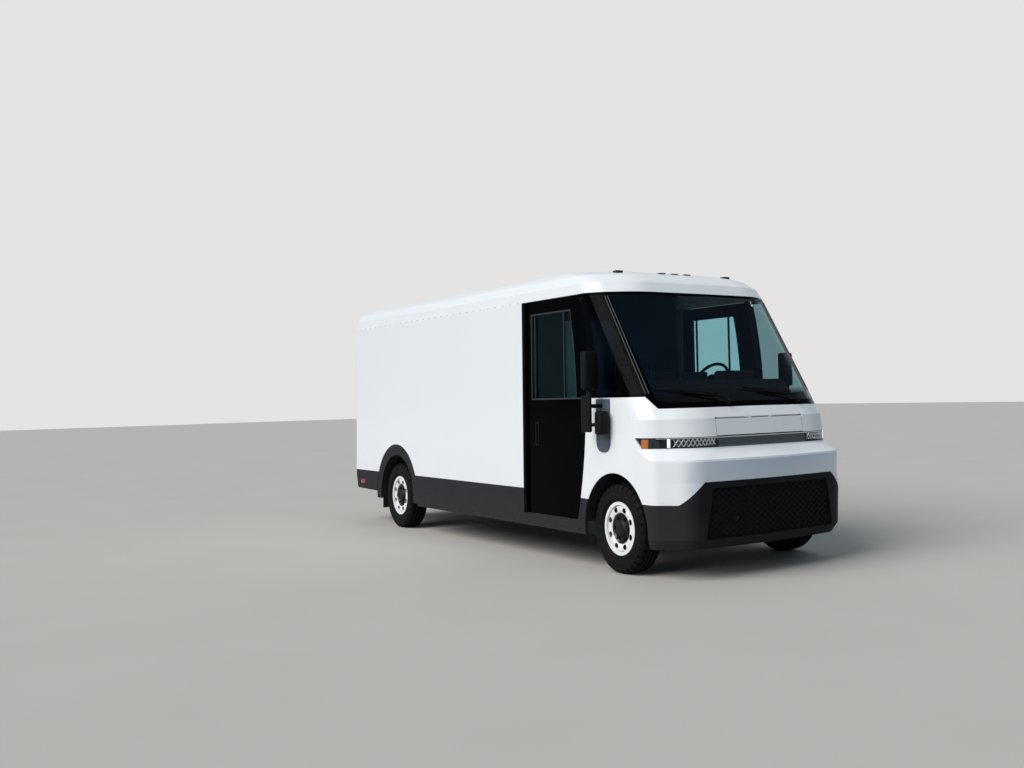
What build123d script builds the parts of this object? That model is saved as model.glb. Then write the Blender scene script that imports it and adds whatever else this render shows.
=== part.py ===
from build123d import *
import math
import os

os.makedirs("parts", exist_ok=True)

# Electric delivery van, millimetres. The nose points along -Y, the driver's (left) side
# is +X, +Z is up, and the origin is on the floor under the middle of the van.

# ---- Driving dimensions: overall ----
WHEELBASE = 4661
FRONT_OVERHANG = 955        # front axle to the foremost point of the bumper
BODY_TAIL = 1285            # rear axle to the rear edge of the side panels
STEP_DEPTH = 90             # how far the rear step stands out behind the side panels
BODY_HALF = 1040            # half the width over the side panels
WALL = 30                   # nose, cab and roof walls
PANEL = 28                  # outer skin of the load space sides
GLASS = 6
SEAM = 6                    # gap round lids, more than the 5 mm a moving panel needs

LENGTH = FRONT_OVERHANG + WHEELBASE + BODY_TAIL + STEP_DEPTH
FRONT_AXLE_Y = FRONT_OVERHANG - LENGTH / 2
REAR_AXLE_Y = FRONT_AXLE_Y + WHEELBASE
TAIL_Y = REAR_AXLE_Y + BODY_TAIL
RAIL_REAR_Y = TAIL_Y - 120  # rear ends of the chassis rails
SIDES = (("right", -1), ("left", 1))

# ---- Driving dimensions: wheels ----
TYRE_RADIUS = 378
TYRE_WIDTH = 225
TRACK = 1800
RIM_FLANGE = 225.5          # radius of the rim's outer flange
RIM_SEAT = 203              # radius the tyre sits on
RIM_WIDTH = 178
HUB_RADIUS = 72
HUB_REACH = 62              # hub face, outboard of the tyre's middle plane
HAND_HOLES = 8
HAND_HOLE_RING = 158
HAND_HOLE_LENGTH = 52
HAND_HOLE_WIDTH = 38
LUG_NUTS = 6
AXLE_Z = TYRE_RADIUS
WHEEL_X = TRACK / 2
SPINDLE = 32
RUNNING_FIT = 0.06
SLIDE_FIT = 0.3             # flat shoes on their tracks

# ---- Driving dimensions: heights and stations ----
ROOF_SEAM_Z = 2425          # where the roof lid sits on the walls
ROOF_TOP_Z = 2680
CREASE_Z = 1300             # above this the nose leans back like the windscreen
BELT_Z = 1488               # bottom edge of the side glass
PANEL_LOW_Z = 640           # bottom edge of the white side panels
CLADDING_LOW_Z = 294
TAIL_LOW_Z = 412            # underside of the body behind the rear wheels
FLOOR_TOP_Z = 720
FLOOR_THICK = 40
DOOR_SPAN = 1565            # front axle to the rear edge of the side doors
DOOR_REAR_Y = FRONT_AXLE_Y + DOOR_SPAN
STEP_TOP_Z = 404            # cab step behind the side doors
DOOR_CLEAR = 10             # door to sill, roof and pocket walls
DOOR_THICK = 45
DOOR_OVERLAP = 25           # door behind the side panel when shut
DOOR_TRAVEL = 1000

FRONT_ARCH = 470            # radius of the fender's wheel opening
REAR_ARCH = 606             # radius of the side panel's wheel opening
REAR_ARCH_INNER = 480       # radius inside the rear arch trim
LINER = 6                   # wall of the wheel housings

# Sliding door front edge, as (distance behind the front axle, height): low, middle, high
DOOR_ARC = ((587, 412), (428, 1406), (554, 2420))

# Corner shapes in plan: how far the nose's shoulder lies inwards of the side, how far it
# lies behind the nose's middle, and the radii of the corner and of the shoulder.
CAB_SHAPE = (340, 15, 300, 480)
BUMPER_SHAPE = (220, 120, 150, 300)
FASCIA_SHAPE = (220, 60, 150, 300)
CROWN_R = 3000
# Plan outline of the cab, level by level: height, nose ahead of the front axle, half
# width, how far ahead of the axle the side starts to turn in, and the corner shape.
CAB_LEVELS = (
    (250, 835, BODY_HALF - 40, 520, FASCIA_SHAPE),
    (330, 890, BODY_HALF - 10, 545, FASCIA_SHAPE),
    (640, 900, BODY_HALF, 560, FASCIA_SHAPE),
    (790, 885, BODY_HALF, 560, FASCIA_SHAPE),
    (955, FRONT_OVERHANG, BODY_HALF, 560, BUMPER_SHAPE),
    (972, FRONT_OVERHANG - 6, BODY_HALF, 556, BUMPER_SHAPE),
    (1050, 772, BODY_HALF, 446, CAB_SHAPE),
    (1150, 745, BODY_HALF, 430, CAB_SHAPE),
    (CREASE_Z, 720, BODY_HALF, 410, CAB_SHAPE),
    (ROOF_SEAM_Z, -70, BODY_HALF - 6, -330, CAB_SHAPE),
)
# The roof lid goes on from the top of the cab in the same way.
ROOF_LEVELS = (
    (ROOF_SEAM_Z, -70, BODY_HALF - 6, -330, CAB_SHAPE),
    (ROOF_TOP_Z - 161, -140, BODY_HALF - 14, -400, CAB_SHAPE),
    (ROOF_TOP_Z - 145, -160, BODY_HALF - 28, -420, CAB_SHAPE),
    (ROOF_TOP_Z - 81, -270, BODY_HALF - 52, -540, CAB_SHAPE),
    (ROOF_TOP_Z - 65, -310, BODY_HALF - 74, -580, CAB_SHAPE),
    (ROOF_TOP_Z - 27, -490, BODY_HALF - 140, -770, CAB_SHAPE),
    (ROOF_TOP_Z, -820, BODY_HALF - 340, -1100, CAB_SHAPE),
)

# ---- Driving dimensions: nose ----
HOOD_HALF = 492             # half the width of the service lid above the light bar
LIGHT_LOW_Z = 1062
LIGHT_HIGH_Z = 1150
LIGHT_DEPTH = 60
LENS_THICK = 4
FASCIA_TOP_Z = 790
FASCIA_TOP_HALF = BODY_HALF - 325
FASCIA_KINK_X = BODY_HALF - 135
FASCIA_SIDE_Z = 606
GRILLE_TOP_Z = 738
GRILLE_LOW_Z = 330
GRILLE_TOP_HALF = BODY_HALF - 400
GRILLE_LOW_HALF = BODY_HALF - 330
GRILLE_RECESS = 16
COWL_Z = 1392               # top of the painted nose
PILLAR_X = BODY_HALF - 138  # windscreen edge at its base
PILLAR_TOP_X = BODY_HALF - 126
PILLAR_SIDE_X = BODY_HALF - 88   # side glass starts here

# ---- Driving dimensions: load space and chassis ----
DOOR_INNER_X = BODY_HALF - 85    # inner face of the sliding doors
LINING_X = DOOR_INNER_X - DOOR_CLEAR
LINING = 20
BULKHEAD_Y = DOOR_REAR_Y + 85
BULKHEAD = 30
DOORWAY = (-520, 130)
DOORWAY_TOP_Z = 2276
RAIL_X = 420
RAIL_WIDTH = 70
RAIL_LOW_Z = 400
RAIL_HIGH_Z = 560
BATTERY_HALF = 620
BATTERY_LOW_Z = 205
REAR_OPENING_HALF = BODY_HALF - 240
REAR_OPENING_TOP_Z = 2240
PORTAL_DEPTH = 90
PORTAL_PROUD = 45

# ---- Driving dimensions: running gear ----
KINGPIN_X = 762
KINGPIN_R = 12
ARM_OFFSET = 150            # lower and upper arm, below and above the axle


def along(distance):
    """Y of a point the given distance behind the front axle."""
    return FRONT_AXLE_Y + distance


def block(x_low, x_high, y_low, y_high, z_low, z_high, mode=Mode.ADD):
    """Box between three pairs of planes."""
    middle = ((x_low + x_high) / 2, (y_low + y_high) / 2, (z_low + z_high) / 2)
    with Locations(middle):
        Box(abs(x_high - x_low), abs(y_high - y_low), abs(z_high - z_low), mode=mode)


def drum(x_low, x_high, y, z, radius, mode=Mode.ADD):
    """Cylinder along X between two planes."""
    with Locations(((x_low + x_high) / 2, y, z)):
        Cylinder(radius, abs(x_high - x_low), rotation=(0, 90, 0), mode=mode)


def post(x, y, z_low, z_high, radius, mode=Mode.ADD):
    """Cylinder along Z between two planes."""
    with Locations((x, y, (z_low + z_high) / 2)):
        Cylinder(radius, abs(z_high - z_low), mode=mode)


def side_prism(points, x_low, x_high, mode=Mode.ADD):
    """Prism with a (y, z) outline between two X planes."""
    with BuildSketch(Plane.YZ.offset(min(x_low, x_high))) as outline:
        with BuildLine():
            Polyline(*points, close=True)
        make_face()
    extrude(outline.sketch, amount=abs(x_high - x_low), mode=mode)


def front_prism(points, y_low, y_high, mode=Mode.ADD):
    """Prism with an (x, z) outline between two Y planes."""
    with BuildSketch(Plane.XZ.offset(-y_high)) as outline:
        with BuildLine():
            Polyline(*points, close=True)
        make_face()
    extrude(outline.sketch, amount=y_high - y_low, mode=mode)


def door_prism(forward, rear_y, x_low, x_high, mode=Mode.ADD):
    """Side opening behind the curved door edge, which is moved forward by a clearance."""
    low, middle, high = ((along(y - forward), z) for y, z in DOOR_ARC)
    with BuildSketch(Plane.YZ.offset(min(x_low, x_high))) as outline:
        with BuildLine():
            ThreePointArc(low, middle, high)
            Polyline(high, (rear_y, high[1]), (rear_y, low[1]), low)
        make_face()
    extrude(outline.sketch, amount=abs(x_high - x_low), mode=mode)


def plan_outline(z, nose, half, corner, shape, tail, inset):
    """Rounded plan outline of the van at one level, moved inwards by inset."""
    shoulder_in, bow, corner_r, shoulder_r = shape
    slant = math.atan2(nose - bow - corner, shoulder_in)
    shoulder = half - shoulder_in - inset * math.tan(slant / 2)
    side_start = along(-corner) + inset * math.tan((math.pi / 2 - slant) / 2)
    front = along(-nose) + inset
    right_half = [
        (half - inset, tail),
        (half - inset, side_start),
        (shoulder, front + bow),
        (0, front),
    ]
    left_half = [(-x, y) for x, y in reversed(right_half[:-1])]
    radii = [corner_r, shoulder_r, CROWN_R, shoulder_r, corner_r]
    with BuildSketch(Plane.XY.offset(z)) as outline:
        with BuildLine():
            FilletPolyline(*right_half, *left_half, radius=[r - inset for r in radii])
            Line((-half + inset, tail), (half - inset, tail))
        make_face()
    return outline.sketch


def stacked_volume(levels, tail, inset):
    """Solid through the plan outlines of all levels."""
    outlines = [plan_outline(*level, tail, inset) for level in levels]
    with BuildPart() as volume:
        loft(outlines, ruled=True)
    return volume.part


cab_outer = stacked_volume(CAB_LEVELS, DOOR_REAR_Y, 0)
cab_cavity = stacked_volume(CAB_LEVELS, DOOR_REAR_Y, WALL)
cab_glazing = stacked_volume(CAB_LEVELS, DOOR_REAR_Y, GLASS)

NOSE_Y = along(-FRONT_OVERHANG)
FAR = 2 * BODY_HALF
CORNER_X = BODY_HALF - 240   # cuts for one side's corner start here

# Front view of the line between the painted nose and the black glazing above it.
COWL_LINE = ((0, COWL_Z), (PILLAR_X, COWL_Z - 4), (PILLAR_SIDE_X, BELT_Z))
COWL_RIGHT = [(-x, z) for x, z in reversed(COWL_LINE[1:])]
PAINTED_NOSE = [
    (-FAR, 0), (-FAR, BELT_Z), *COWL_RIGHT, *COWL_LINE, (FAR, BELT_Z), (FAR, 0),
]

# Side views: lamp strip with its raked tip, and the bumper cover's joint with the fender.
LAMP_TIP = (along(-318), LIGHT_HIGH_Z)
LAMP_TOE = (along(-400), LIGHT_LOW_Z)
LAMP_STRIP = [(NOSE_Y - 50, LIGHT_LOW_Z), LAMP_TOE, LAMP_TIP, (NOSE_Y - 50, LIGHT_HIGH_Z)]
BUMPER_FOOT = (along(-300), 700)
BUMPER_SIDE = [(NOSE_Y - 50, 0), (along(-300), 0), BUMPER_FOOT, LAMP_TOE,
               (NOSE_Y - 50, LIGHT_LOW_Z)]
# Front view of the dark lower fascia, which drops towards the wheel openings.
FASCIA_FRONT = [
    (-FAR, 0), (-FAR, FASCIA_SIDE_Z), (-FASCIA_KINK_X, FASCIA_SIDE_Z + 6),
    (-FASCIA_TOP_HALF, FASCIA_TOP_Z), (FASCIA_TOP_HALF, FASCIA_TOP_Z),
    (FASCIA_KINK_X, FASCIA_SIDE_Z + 6), (FAR, FASCIA_SIDE_Z), (FAR, 0),
]


def arch_cut(axle_y, radius, mode=Mode.SUBTRACT):
    """Round wheel opening through both sides."""
    for _, side in SIDES:
        drum(side * KINGPIN_X * 0.7, side * (BODY_HALF + 60), axle_y, AXLE_Z, radius, mode)


# ---- Roof lid: a thin shell with two steps along each side, open below ----
roof_outer = stacked_volume(ROOF_LEVELS, TAIL_Y, 0)
roof_cavity = stacked_volume(
    [(z - (WALL if z > ROOF_SEAM_Z else 0), *rest) for z, *rest in ROOF_LEVELS],
    TAIL_Y - WALL, WALL)
with BuildPart() as roof:
    add(roof_outer)
    add(roof_cavity, mode=Mode.SUBTRACT)
roof.part.label = "roof"
export_step(roof.part, "parts/roof.step")

# ---- Side panels: flat outer skins from the sliding doors to the tail ----
PORTAL_Y = TAIL_Y - PORTAL_DEPTH
for name, side in SIDES:
    with BuildPart() as side_panel:
        block(side * (BODY_HALF - PANEL), side * BODY_HALF, DOOR_REAR_Y, TAIL_Y,
              PANEL_LOW_Z, ROOF_SEAM_Z)
        arch_cut(REAR_AXLE_Y, REAR_ARCH)
    side_panel.part.label = name + "_side_panel"
    export_step(side_panel.part, "parts/" + name + "_side_panel.step")

# ---- Stations shared by the bulkhead door, its track and the door pockets ----
LEAF = 22
LEAF_GAP = 6
TRACK_HIGH = 8
BULKHEAD_TRAVEL = 680
LEAF_FRONT_Y = BULKHEAD_Y + BULKHEAD + LEAF_GAP
POCKET_END_Y = DOOR_REAR_Y + DOOR_OVERLAP + DOOR_TRAVEL + 120

# ---- Lining: inner walls of the load space, which leave a pocket for each side door ----
with BuildPart() as lining:
    block(LINING_X - LINING, LINING_X, DOOR_REAR_Y, PORTAL_Y, FLOOR_TOP_Z, ROOF_SEAM_Z)
    block(LINING_X - 2 * LINING, LINING_X + LINING, REAR_AXLE_Y - REAR_ARCH_INNER - LINER,
          REAR_AXLE_Y + REAR_ARCH_INNER + LINER, 0, AXLE_Z + REAR_ARCH_INNER + LINER,
          mode=Mode.SUBTRACT)
    block(LINING_X, BODY_HALF - PANEL, POCKET_END_Y, POCKET_END_Y + 30, PANEL_LOW_Z,
          ROOF_SEAM_Z)
    mirror(about=Plane.YZ)
lining.part.label = "lining"
export_step(lining.part, "parts/lining.step")

# ---- Load floor, with the door pockets' floors and the bulkhead door's track ----
FLOOR_LOW_Z = FLOOR_TOP_Z - FLOOR_THICK
STEP_EDGE_X = BODY_HALF - WALL - 4
with BuildPart() as load_floor:
    block(-LINING_X, LINING_X, DOOR_REAR_Y, PORTAL_Y, FLOOR_LOW_Z, FLOOR_TOP_Z)
    for _, side in SIDES:
        block(side * LINING_X, side * STEP_EDGE_X, DOOR_REAR_Y, POCKET_END_Y,
              STEP_TOP_Z - 20, STEP_TOP_Z)
        block(side * (LINING_X - LINING), side * LINING_X, DOOR_REAR_Y, POCKET_END_Y,
              STEP_TOP_Z - 20, FLOOR_LOW_Z)
    block(DOORWAY[0] - 25, DOORWAY[1] + 25 + BULKHEAD_TRAVEL, LEAF_FRONT_Y, LEAF_FRONT_Y + LEAF,
          FLOOR_TOP_Z, FLOOR_TOP_Z + TRACK_HIGH)
    arch_cut(REAR_AXLE_Y, REAR_ARCH_INNER + LINER)
load_floor.part.label = "load_floor"
export_step(load_floor.part, "parts/load_floor.step")

# ---- Cab floor with a step well at each door, and the toe board ----
STEP_X = BODY_HALF - 350
FIREWALL_Y = along(-470)
DASH_HIGH_Z = 1280
with BuildPart() as cab_floor:
    block(-STEP_X, STEP_X, FIREWALL_Y, DOOR_REAR_Y, FLOOR_LOW_Z, FLOOR_TOP_Z)
    for _, side in SIDES:
        block(side * STEP_X, side * (STEP_X + 20), along(FRONT_ARCH + 25), DOOR_REAR_Y,
              STEP_TOP_Z - 20, FLOOR_TOP_Z)
        block(side * STEP_X, side * STEP_EDGE_X, along(620), DOOR_REAR_Y,
              STEP_TOP_Z - 20, STEP_TOP_Z)
        block(side * 300, side * 500, FIREWALL_Y, FIREWALL_Y + 20, RAIL_HIGH_Z,
              RAIL_HIGH_Z + 20)
    block(-540, 540, FIREWALL_Y, FIREWALL_Y + 20, RAIL_HIGH_Z + 20, DASH_HIGH_Z)
    arch_cut(FRONT_AXLE_Y, FRONT_ARCH + LINER + 2)
cab_floor.part.label = "cab_floor"
export_step(cab_floor.part, "parts/cab_floor.step")

# ---- Rear portal: dark frame round the load door, standing just proud of the panels ----
PORTAL_BACK_Y = TAIL_Y + PORTAL_PROUD
with BuildPart() as rear_portal:
    block(-(BODY_HALF - PANEL), BODY_HALF - PANEL, PORTAL_Y, PORTAL_BACK_Y, PANEL_LOW_Z,
          ROOF_SEAM_Z)
    block(-REAR_OPENING_HALF, REAR_OPENING_HALF, PORTAL_Y - 10, PORTAL_BACK_Y + 10,
          FLOOR_TOP_Z, REAR_OPENING_TOP_Z, mode=Mode.SUBTRACT)
rear_portal.part.label = "rear_portal"
export_step(rear_portal.part, "parts/rear_portal.step")

# ---- Roll-up load door: slats with narrow grooves, held in the portal ----
SLATS = 14
DOOR_LEAF = 24
GROOVE = 8
slat_pitch = (REAR_OPENING_TOP_Z - FLOOR_TOP_Z) / SLATS
LEAF_Y = TAIL_Y - 40
with BuildPart() as roll_up_door:
    block(-REAR_OPENING_HALF, REAR_OPENING_HALF, LEAF_Y, LEAF_Y + DOOR_LEAF, FLOOR_TOP_Z,
          REAR_OPENING_TOP_Z)
    for slat in range(1, SLATS):
        joint_z = FLOOR_TOP_Z + slat * slat_pitch
        block(-REAR_OPENING_HALF, REAR_OPENING_HALF, LEAF_Y + DOOR_LEAF - 5,
              LEAF_Y + DOOR_LEAF, joint_z - GROOVE / 2, joint_z + GROOVE / 2,
              mode=Mode.SUBTRACT)
    block(-150, 150, LEAF_Y + DOOR_LEAF, LEAF_Y + DOOR_LEAF + 22, FLOOR_TOP_Z + 60,
          FLOOR_TOP_Z + 82)
roll_up_door.part.label = "roll_up_door"
export_step(roll_up_door.part, "parts/roll_up_door.step")

# ---- Tail lamps: tall red strips on the portal posts ----
TAIL_LAMP = (BODY_HALF - 180, BODY_HALF - 50)
TAIL_LAMP_Z = (1000, 1560)
with BuildPart() as tail_lamps:
    for _, side in SIDES:
        block(side * TAIL_LAMP[0], side * TAIL_LAMP[1], PORTAL_BACK_Y, PORTAL_BACK_Y + 22,
              *TAIL_LAMP_Z)
tail_lamps.part.label = "tail_lamps"
export_step(tail_lamps.part, "parts/tail_lamps.step")

# ---- Rear step bumper ----
STEP_BACK_Y = TAIL_Y + STEP_DEPTH
with BuildPart() as rear_bumper:
    block(-BODY_HALF + 90, BODY_HALF - 90, RAIL_REAR_Y, STEP_BACK_Y, TAIL_LOW_Z + 40,
          TAIL_LOW_Z + 130)
rear_bumper.part.label = "rear_bumper"
export_step(rear_bumper.part, "parts/rear_bumper.step")

# ---- Side cladding: dark plates below the painted panels, stepped down at the doors ----
CLADDING = 30
CLADDING_FRONT_Y = along(300)
CLADDING_SIDE = [
    (CLADDING_FRONT_Y, CLADDING_LOW_Z), (CLADDING_FRONT_Y, FASCIA_SIDE_Z),
    (along(700), FASCIA_SIDE_Z),
    (along(700), STEP_TOP_Z), (DOOR_REAR_Y, STEP_TOP_Z), (DOOR_REAR_Y, PANEL_LOW_Z),
    (REAR_AXLE_Y, PANEL_LOW_Z), (REAR_AXLE_Y, CLADDING_LOW_Z),
]
CLADDING_TAIL = [
    (REAR_AXLE_Y, PANEL_LOW_Z), (TAIL_Y, PANEL_LOW_Z), (TAIL_Y - 4, 560),
    (TAIL_Y - 40, TAIL_LOW_Z + 20), (TAIL_Y - 70, TAIL_LOW_Z), (REAR_AXLE_Y, TAIL_LOW_Z - 20),
]
CLADDING_X = BODY_HALF - 2
with BuildPart() as side_cladding:
    for _, side in SIDES:
        side_prism(CLADDING_SIDE, side * (CLADDING_X - CLADDING), side * CLADDING_X)
        side_prism(CLADDING_TAIL, side * (CLADDING_X - CLADDING), side * CLADDING_X)
    for _, side in SIDES:
        door_prism(0, DOOR_REAR_Y, side * (BODY_HALF - 100), side * (BODY_HALF + 20),
                   mode=Mode.SUBTRACT)
    arch_cut(FRONT_AXLE_Y, FRONT_ARCH)
    arch_cut(REAR_AXLE_Y, REAR_ARCH)
side_cladding.part.label = "side_cladding"
export_step(side_cladding.part, "parts/side_cladding.step")

# ---- Wheel housings: arched liners, each closed towards the van's middle ----
FRONT_LINER_X = 560
LINER_LOW_Z = 320
REAR_LINER_X = 745
REAR_SLOT_X = 800           # slot in each rear liner for the axle links
with BuildPart() as front_liners:
    for _, side in SIDES:
        outer_x = side * (BODY_HALF - WALL)
        drum(side * FRONT_LINER_X, outer_x, FRONT_AXLE_Y, AXLE_Z, FRONT_ARCH + LINER)
        drum(side * (FRONT_LINER_X + LINER), outer_x, FRONT_AXLE_Y, AXLE_Z, FRONT_ARCH,
             mode=Mode.SUBTRACT)
    block(-FAR, FAR, along(-FAR), along(FAR), AXLE_Z + 40, FAR, mode=Mode.INTERSECT)
    add(cab_cavity, mode=Mode.INTERSECT)
    block(-KINGPIN_X, KINGPIN_X, along(-210), along(210), 0, AXLE_Z + ARM_OFFSET + 40,
          mode=Mode.SUBTRACT)
    for _, side in SIDES:
        block(side * (CLADDING_X - CLADDING), side * FAR, CLADDING_FRONT_Y, FAR, 0,
              FASCIA_SIDE_Z, mode=Mode.SUBTRACT)
with BuildPart() as rear_liners:
    for _, side in SIDES:
        inner_x = side * REAR_LINER_X
        trim_x = side * (BODY_HALF - PANEL)
        drum(inner_x, trim_x, REAR_AXLE_Y, AXLE_Z, REAR_ARCH_INNER + LINER)
        drum(trim_x, side * (CLADDING_X - 4), REAR_AXLE_Y, AXLE_Z, REAR_ARCH)
        drum(side * (REAR_LINER_X + LINER), side * BODY_HALF, REAR_AXLE_Y, AXLE_Z,
             REAR_ARCH_INNER, mode=Mode.SUBTRACT)
    block(-FAR, FAR, REAR_AXLE_Y - FAR, REAR_AXLE_Y + FAR, LINER_LOW_Z, FAR,
          mode=Mode.INTERSECT)
    block(-REAR_SLOT_X, REAR_SLOT_X, REAR_AXLE_Y - 120, REAR_AXLE_Y + 120, 0, AXLE_Z + 120,
          mode=Mode.SUBTRACT)
with BuildPart() as wheel_housings:
    add(front_liners.part)
    add(rear_liners.part)
wheel_housings.part.label = "wheel_housings"
export_step(wheel_housings.part, "parts/wheel_housings.step")

# ---- Mud flaps behind the rear wheels ----
FLAP_Y = REAR_AXLE_Y + math.sqrt(REAR_ARCH_INNER ** 2 - (AXLE_Z - LINER_LOW_Z) ** 2) - 1
with BuildPart() as mud_flaps:
    for _, side in SIDES:
        block(side * (WHEEL_X - TYRE_WIDTH / 2), side * (WHEEL_X + TYRE_WIDTH / 2 - 4),
              FLAP_Y, FLAP_Y + 8, 200, LINER_LOW_Z)
mud_flaps.part.label = "mud_flaps"
export_step(mud_flaps.part, "parts/mud_flaps.step")

# ---- Service lid above the light bar, hinged along its top edge ----
LID_AXIS_Z = CREASE_Z
LID_TOP_Z = LID_AXIS_Z - SEAM
LID_LOW_Z = LIGHT_HIGH_Z + SEAM
LID_AXIS_Y = along(-714)
HINGE_PIN = 3
BARREL_R = 5
BARREL_X = 115
BARREL_LONG = 26
with BuildPart() as hood_lid:
    add(cab_outer)
    add(cab_cavity, mode=Mode.SUBTRACT)
    block(-HOOD_HALF + SEAM / 2, HOOD_HALF - SEAM / 2, NOSE_Y - 10, FIREWALL_Y, LID_LOW_Z,
          LID_TOP_Z, mode=Mode.INTERSECT)
    for x in (-BARREL_X, BARREL_X):
        drum(x - BARREL_LONG / 2, x + BARREL_LONG / 2, LID_AXIS_Y, LID_AXIS_Z, BARREL_R)
        block(x - BARREL_LONG / 2, x + BARREL_LONG / 2, LID_AXIS_Y, LID_AXIS_Y + BARREL_R,
              LID_TOP_Z - 4, LID_AXIS_Z)
        drum(x - BARREL_LONG, x + BARREL_LONG, LID_AXIS_Y, LID_AXIS_Z, HINGE_PIN + RUNNING_FIT,
             mode=Mode.SUBTRACT)
hood_lid.part.label = "hood_lid"
export_step(hood_lid.part, "parts/hood_lid.step")

# ---- Charge port: lid in the left fender, on a box behind it ----
PORT_Y = (along(90), along(290))
PORT_Z = (950, 1160)
PORT_LID = 12
PORT_BARRELS = (PORT_Z[0] + 50, PORT_Z[1] - 50)
with BuildPart() as charge_lid:
    block(BODY_HALF - PORT_LID, BODY_HALF, PORT_Y[0] + SEAM, PORT_Y[1] - SEAM,
          PORT_Z[0] + SEAM, PORT_Z[1] - SEAM)
    for z in PORT_BARRELS:
        post(BODY_HALF, PORT_Y[0] + SEAM / 2, z - 10, z + 10, BARREL_R)
        block(BODY_HALF - 6, BODY_HALF, PORT_Y[0] + SEAM / 2, PORT_Y[0] + 2 * SEAM,
              z - 10, z + 10)
        post(BODY_HALF, PORT_Y[0] + SEAM / 2, z - 20, z + 20, HINGE_PIN + RUNNING_FIT,
             mode=Mode.SUBTRACT)
charge_lid.part.label = "charge_lid"
export_step(charge_lid.part, "parts/charge_lid.step")

# ---- Fenders: painted corners from the lid round to the doors, joined above the lid ----
with BuildPart() as fenders:
    add(cab_outer)
    add(cab_cavity, mode=Mode.SUBTRACT)
    front_prism(PAINTED_NOSE, NOSE_Y - 10, DOOR_REAR_Y, mode=Mode.INTERSECT)
    block(-FAR, FAR, NOSE_Y - 10, DOOR_REAR_Y, FASCIA_SIDE_Z, BELT_Z, mode=Mode.INTERSECT)
    block(-HOOD_HALF - SEAM / 2, HOOD_HALF + SEAM / 2, NOSE_Y - 10, FIREWALL_Y, 0,
          LID_AXIS_Z + SEAM, mode=Mode.SUBTRACT)
    side_prism(LAMP_STRIP, -FAR, FAR, mode=Mode.SUBTRACT)
    side_prism(BUMPER_SIDE, -FAR, FAR, mode=Mode.SUBTRACT)
    arch_cut(FRONT_AXLE_Y, FRONT_ARCH)
    for _, side in SIDES:
        door_prism(0, DOOR_REAR_Y + 10, side * CORNER_X, side * FAR, mode=Mode.SUBTRACT)
    block(BODY_HALF - WALL - 10, FAR, *PORT_Y, *PORT_Z, mode=Mode.SUBTRACT)
    block(BODY_HALF - WALL - 60, BODY_HALF - WALL, PORT_Y[0] - 10, PORT_Y[1] + 10,
          PORT_Z[0] - 10, PORT_Z[1] + 10)
    block(BODY_HALF - WALL - 50, BODY_HALF - WALL, *PORT_Y, *PORT_Z, mode=Mode.SUBTRACT)
    for z in PORT_BARRELS:
        post(BODY_HALF, PORT_Y[0] + SEAM / 2, z - 12, z + 12, BARREL_R + 3, mode=Mode.SUBTRACT)
    for z, step in zip(PORT_BARRELS, (1, -1)):
        post(BODY_HALF, PORT_Y[0] + SEAM / 2, z - step * 10, z + step * 24, HINGE_PIN)
        block(BODY_HALF - 8, BODY_HALF, PORT_Y[0] - 4, PORT_Y[0] + SEAM / 2, z + step * 11,
              z + step * 24)
    for _, side in SIDES:
        lug_x = side * (BARREL_X + BARREL_LONG / 2 + 1)
        block(lug_x, lug_x + side * 20, LID_AXIS_Y - 2, LID_AXIS_Y + 14, LID_AXIS_Z - 2,
              LID_AXIS_Z + 2 * SEAM)
        drum(lug_x - side * BARREL_LONG, lug_x + side * 20, LID_AXIS_Y, LID_AXIS_Z, HINGE_PIN)
fenders.part.label = "fenders"
export_step(fenders.part, "parts/fenders.step")

# ---- Bumper cover: painted band between the light bar and the dark fascia ----
with BuildPart() as bumper_cover:
    add(cab_outer)
    add(cab_cavity, mode=Mode.SUBTRACT)
    side_prism(BUMPER_SIDE, -FAR, FAR, mode=Mode.INTERSECT)
    front_prism(FASCIA_FRONT, NOSE_Y - 10, DOOR_REAR_Y, mode=Mode.SUBTRACT)
    arch_cut(FRONT_AXLE_Y, FRONT_ARCH)
bumper_cover.part.label = "bumper_cover"
export_step(bumper_cover.part, "parts/bumper_cover.step")

# ---- Lower fascia with the grille opening ----
GRILLE_OPENING = [
    (-GRILLE_LOW_HALF, GRILLE_LOW_Z), (-GRILLE_TOP_HALF, GRILLE_TOP_Z),
    (GRILLE_TOP_HALF, GRILLE_TOP_Z), (GRILLE_LOW_HALF, GRILLE_LOW_Z),
]
with BuildPart() as lower_fascia:
    add(cab_outer)
    add(cab_cavity, mode=Mode.SUBTRACT)
    front_prism(FASCIA_FRONT, NOSE_Y - 10, along(-100), mode=Mode.INTERSECT)
    front_prism(GRILLE_OPENING, NOSE_Y - 10, along(-100), mode=Mode.SUBTRACT)
    arch_cut(FRONT_AXLE_Y, FRONT_ARCH)
lower_fascia.part.label = "lower_fascia"
export_step(lower_fascia.part, "parts/lower_fascia.step")

# ---- Grille: recessed panel in the fascia opening, pierced for the towing eye ----
TOW_X = -RAIL_X
TOW_Z = (RAIL_LOW_Z + RAIL_HIGH_Z) / 2
TOW_Y = along(-790)
TOW_TUBE = 22
TOW_THREAD = 10
TOW_DEPTH = 60
grille_face = stacked_volume(CAB_LEVELS, DOOR_REAR_Y, GRILLE_RECESS)
with BuildPart() as grille:
    add(grille_face)
    add(cab_cavity, mode=Mode.SUBTRACT)
    front_prism(GRILLE_OPENING, NOSE_Y - 10, along(-100), mode=Mode.INTERSECT)
    with Locations((TOW_X, TOW_Y, TOW_Z)):
        Cylinder(TOW_TUBE + 2, 200, rotation=(90, 0, 0), mode=Mode.SUBTRACT)
grille.part.label = "grille"
export_step(grille.part, "parts/grille.step")

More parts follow.
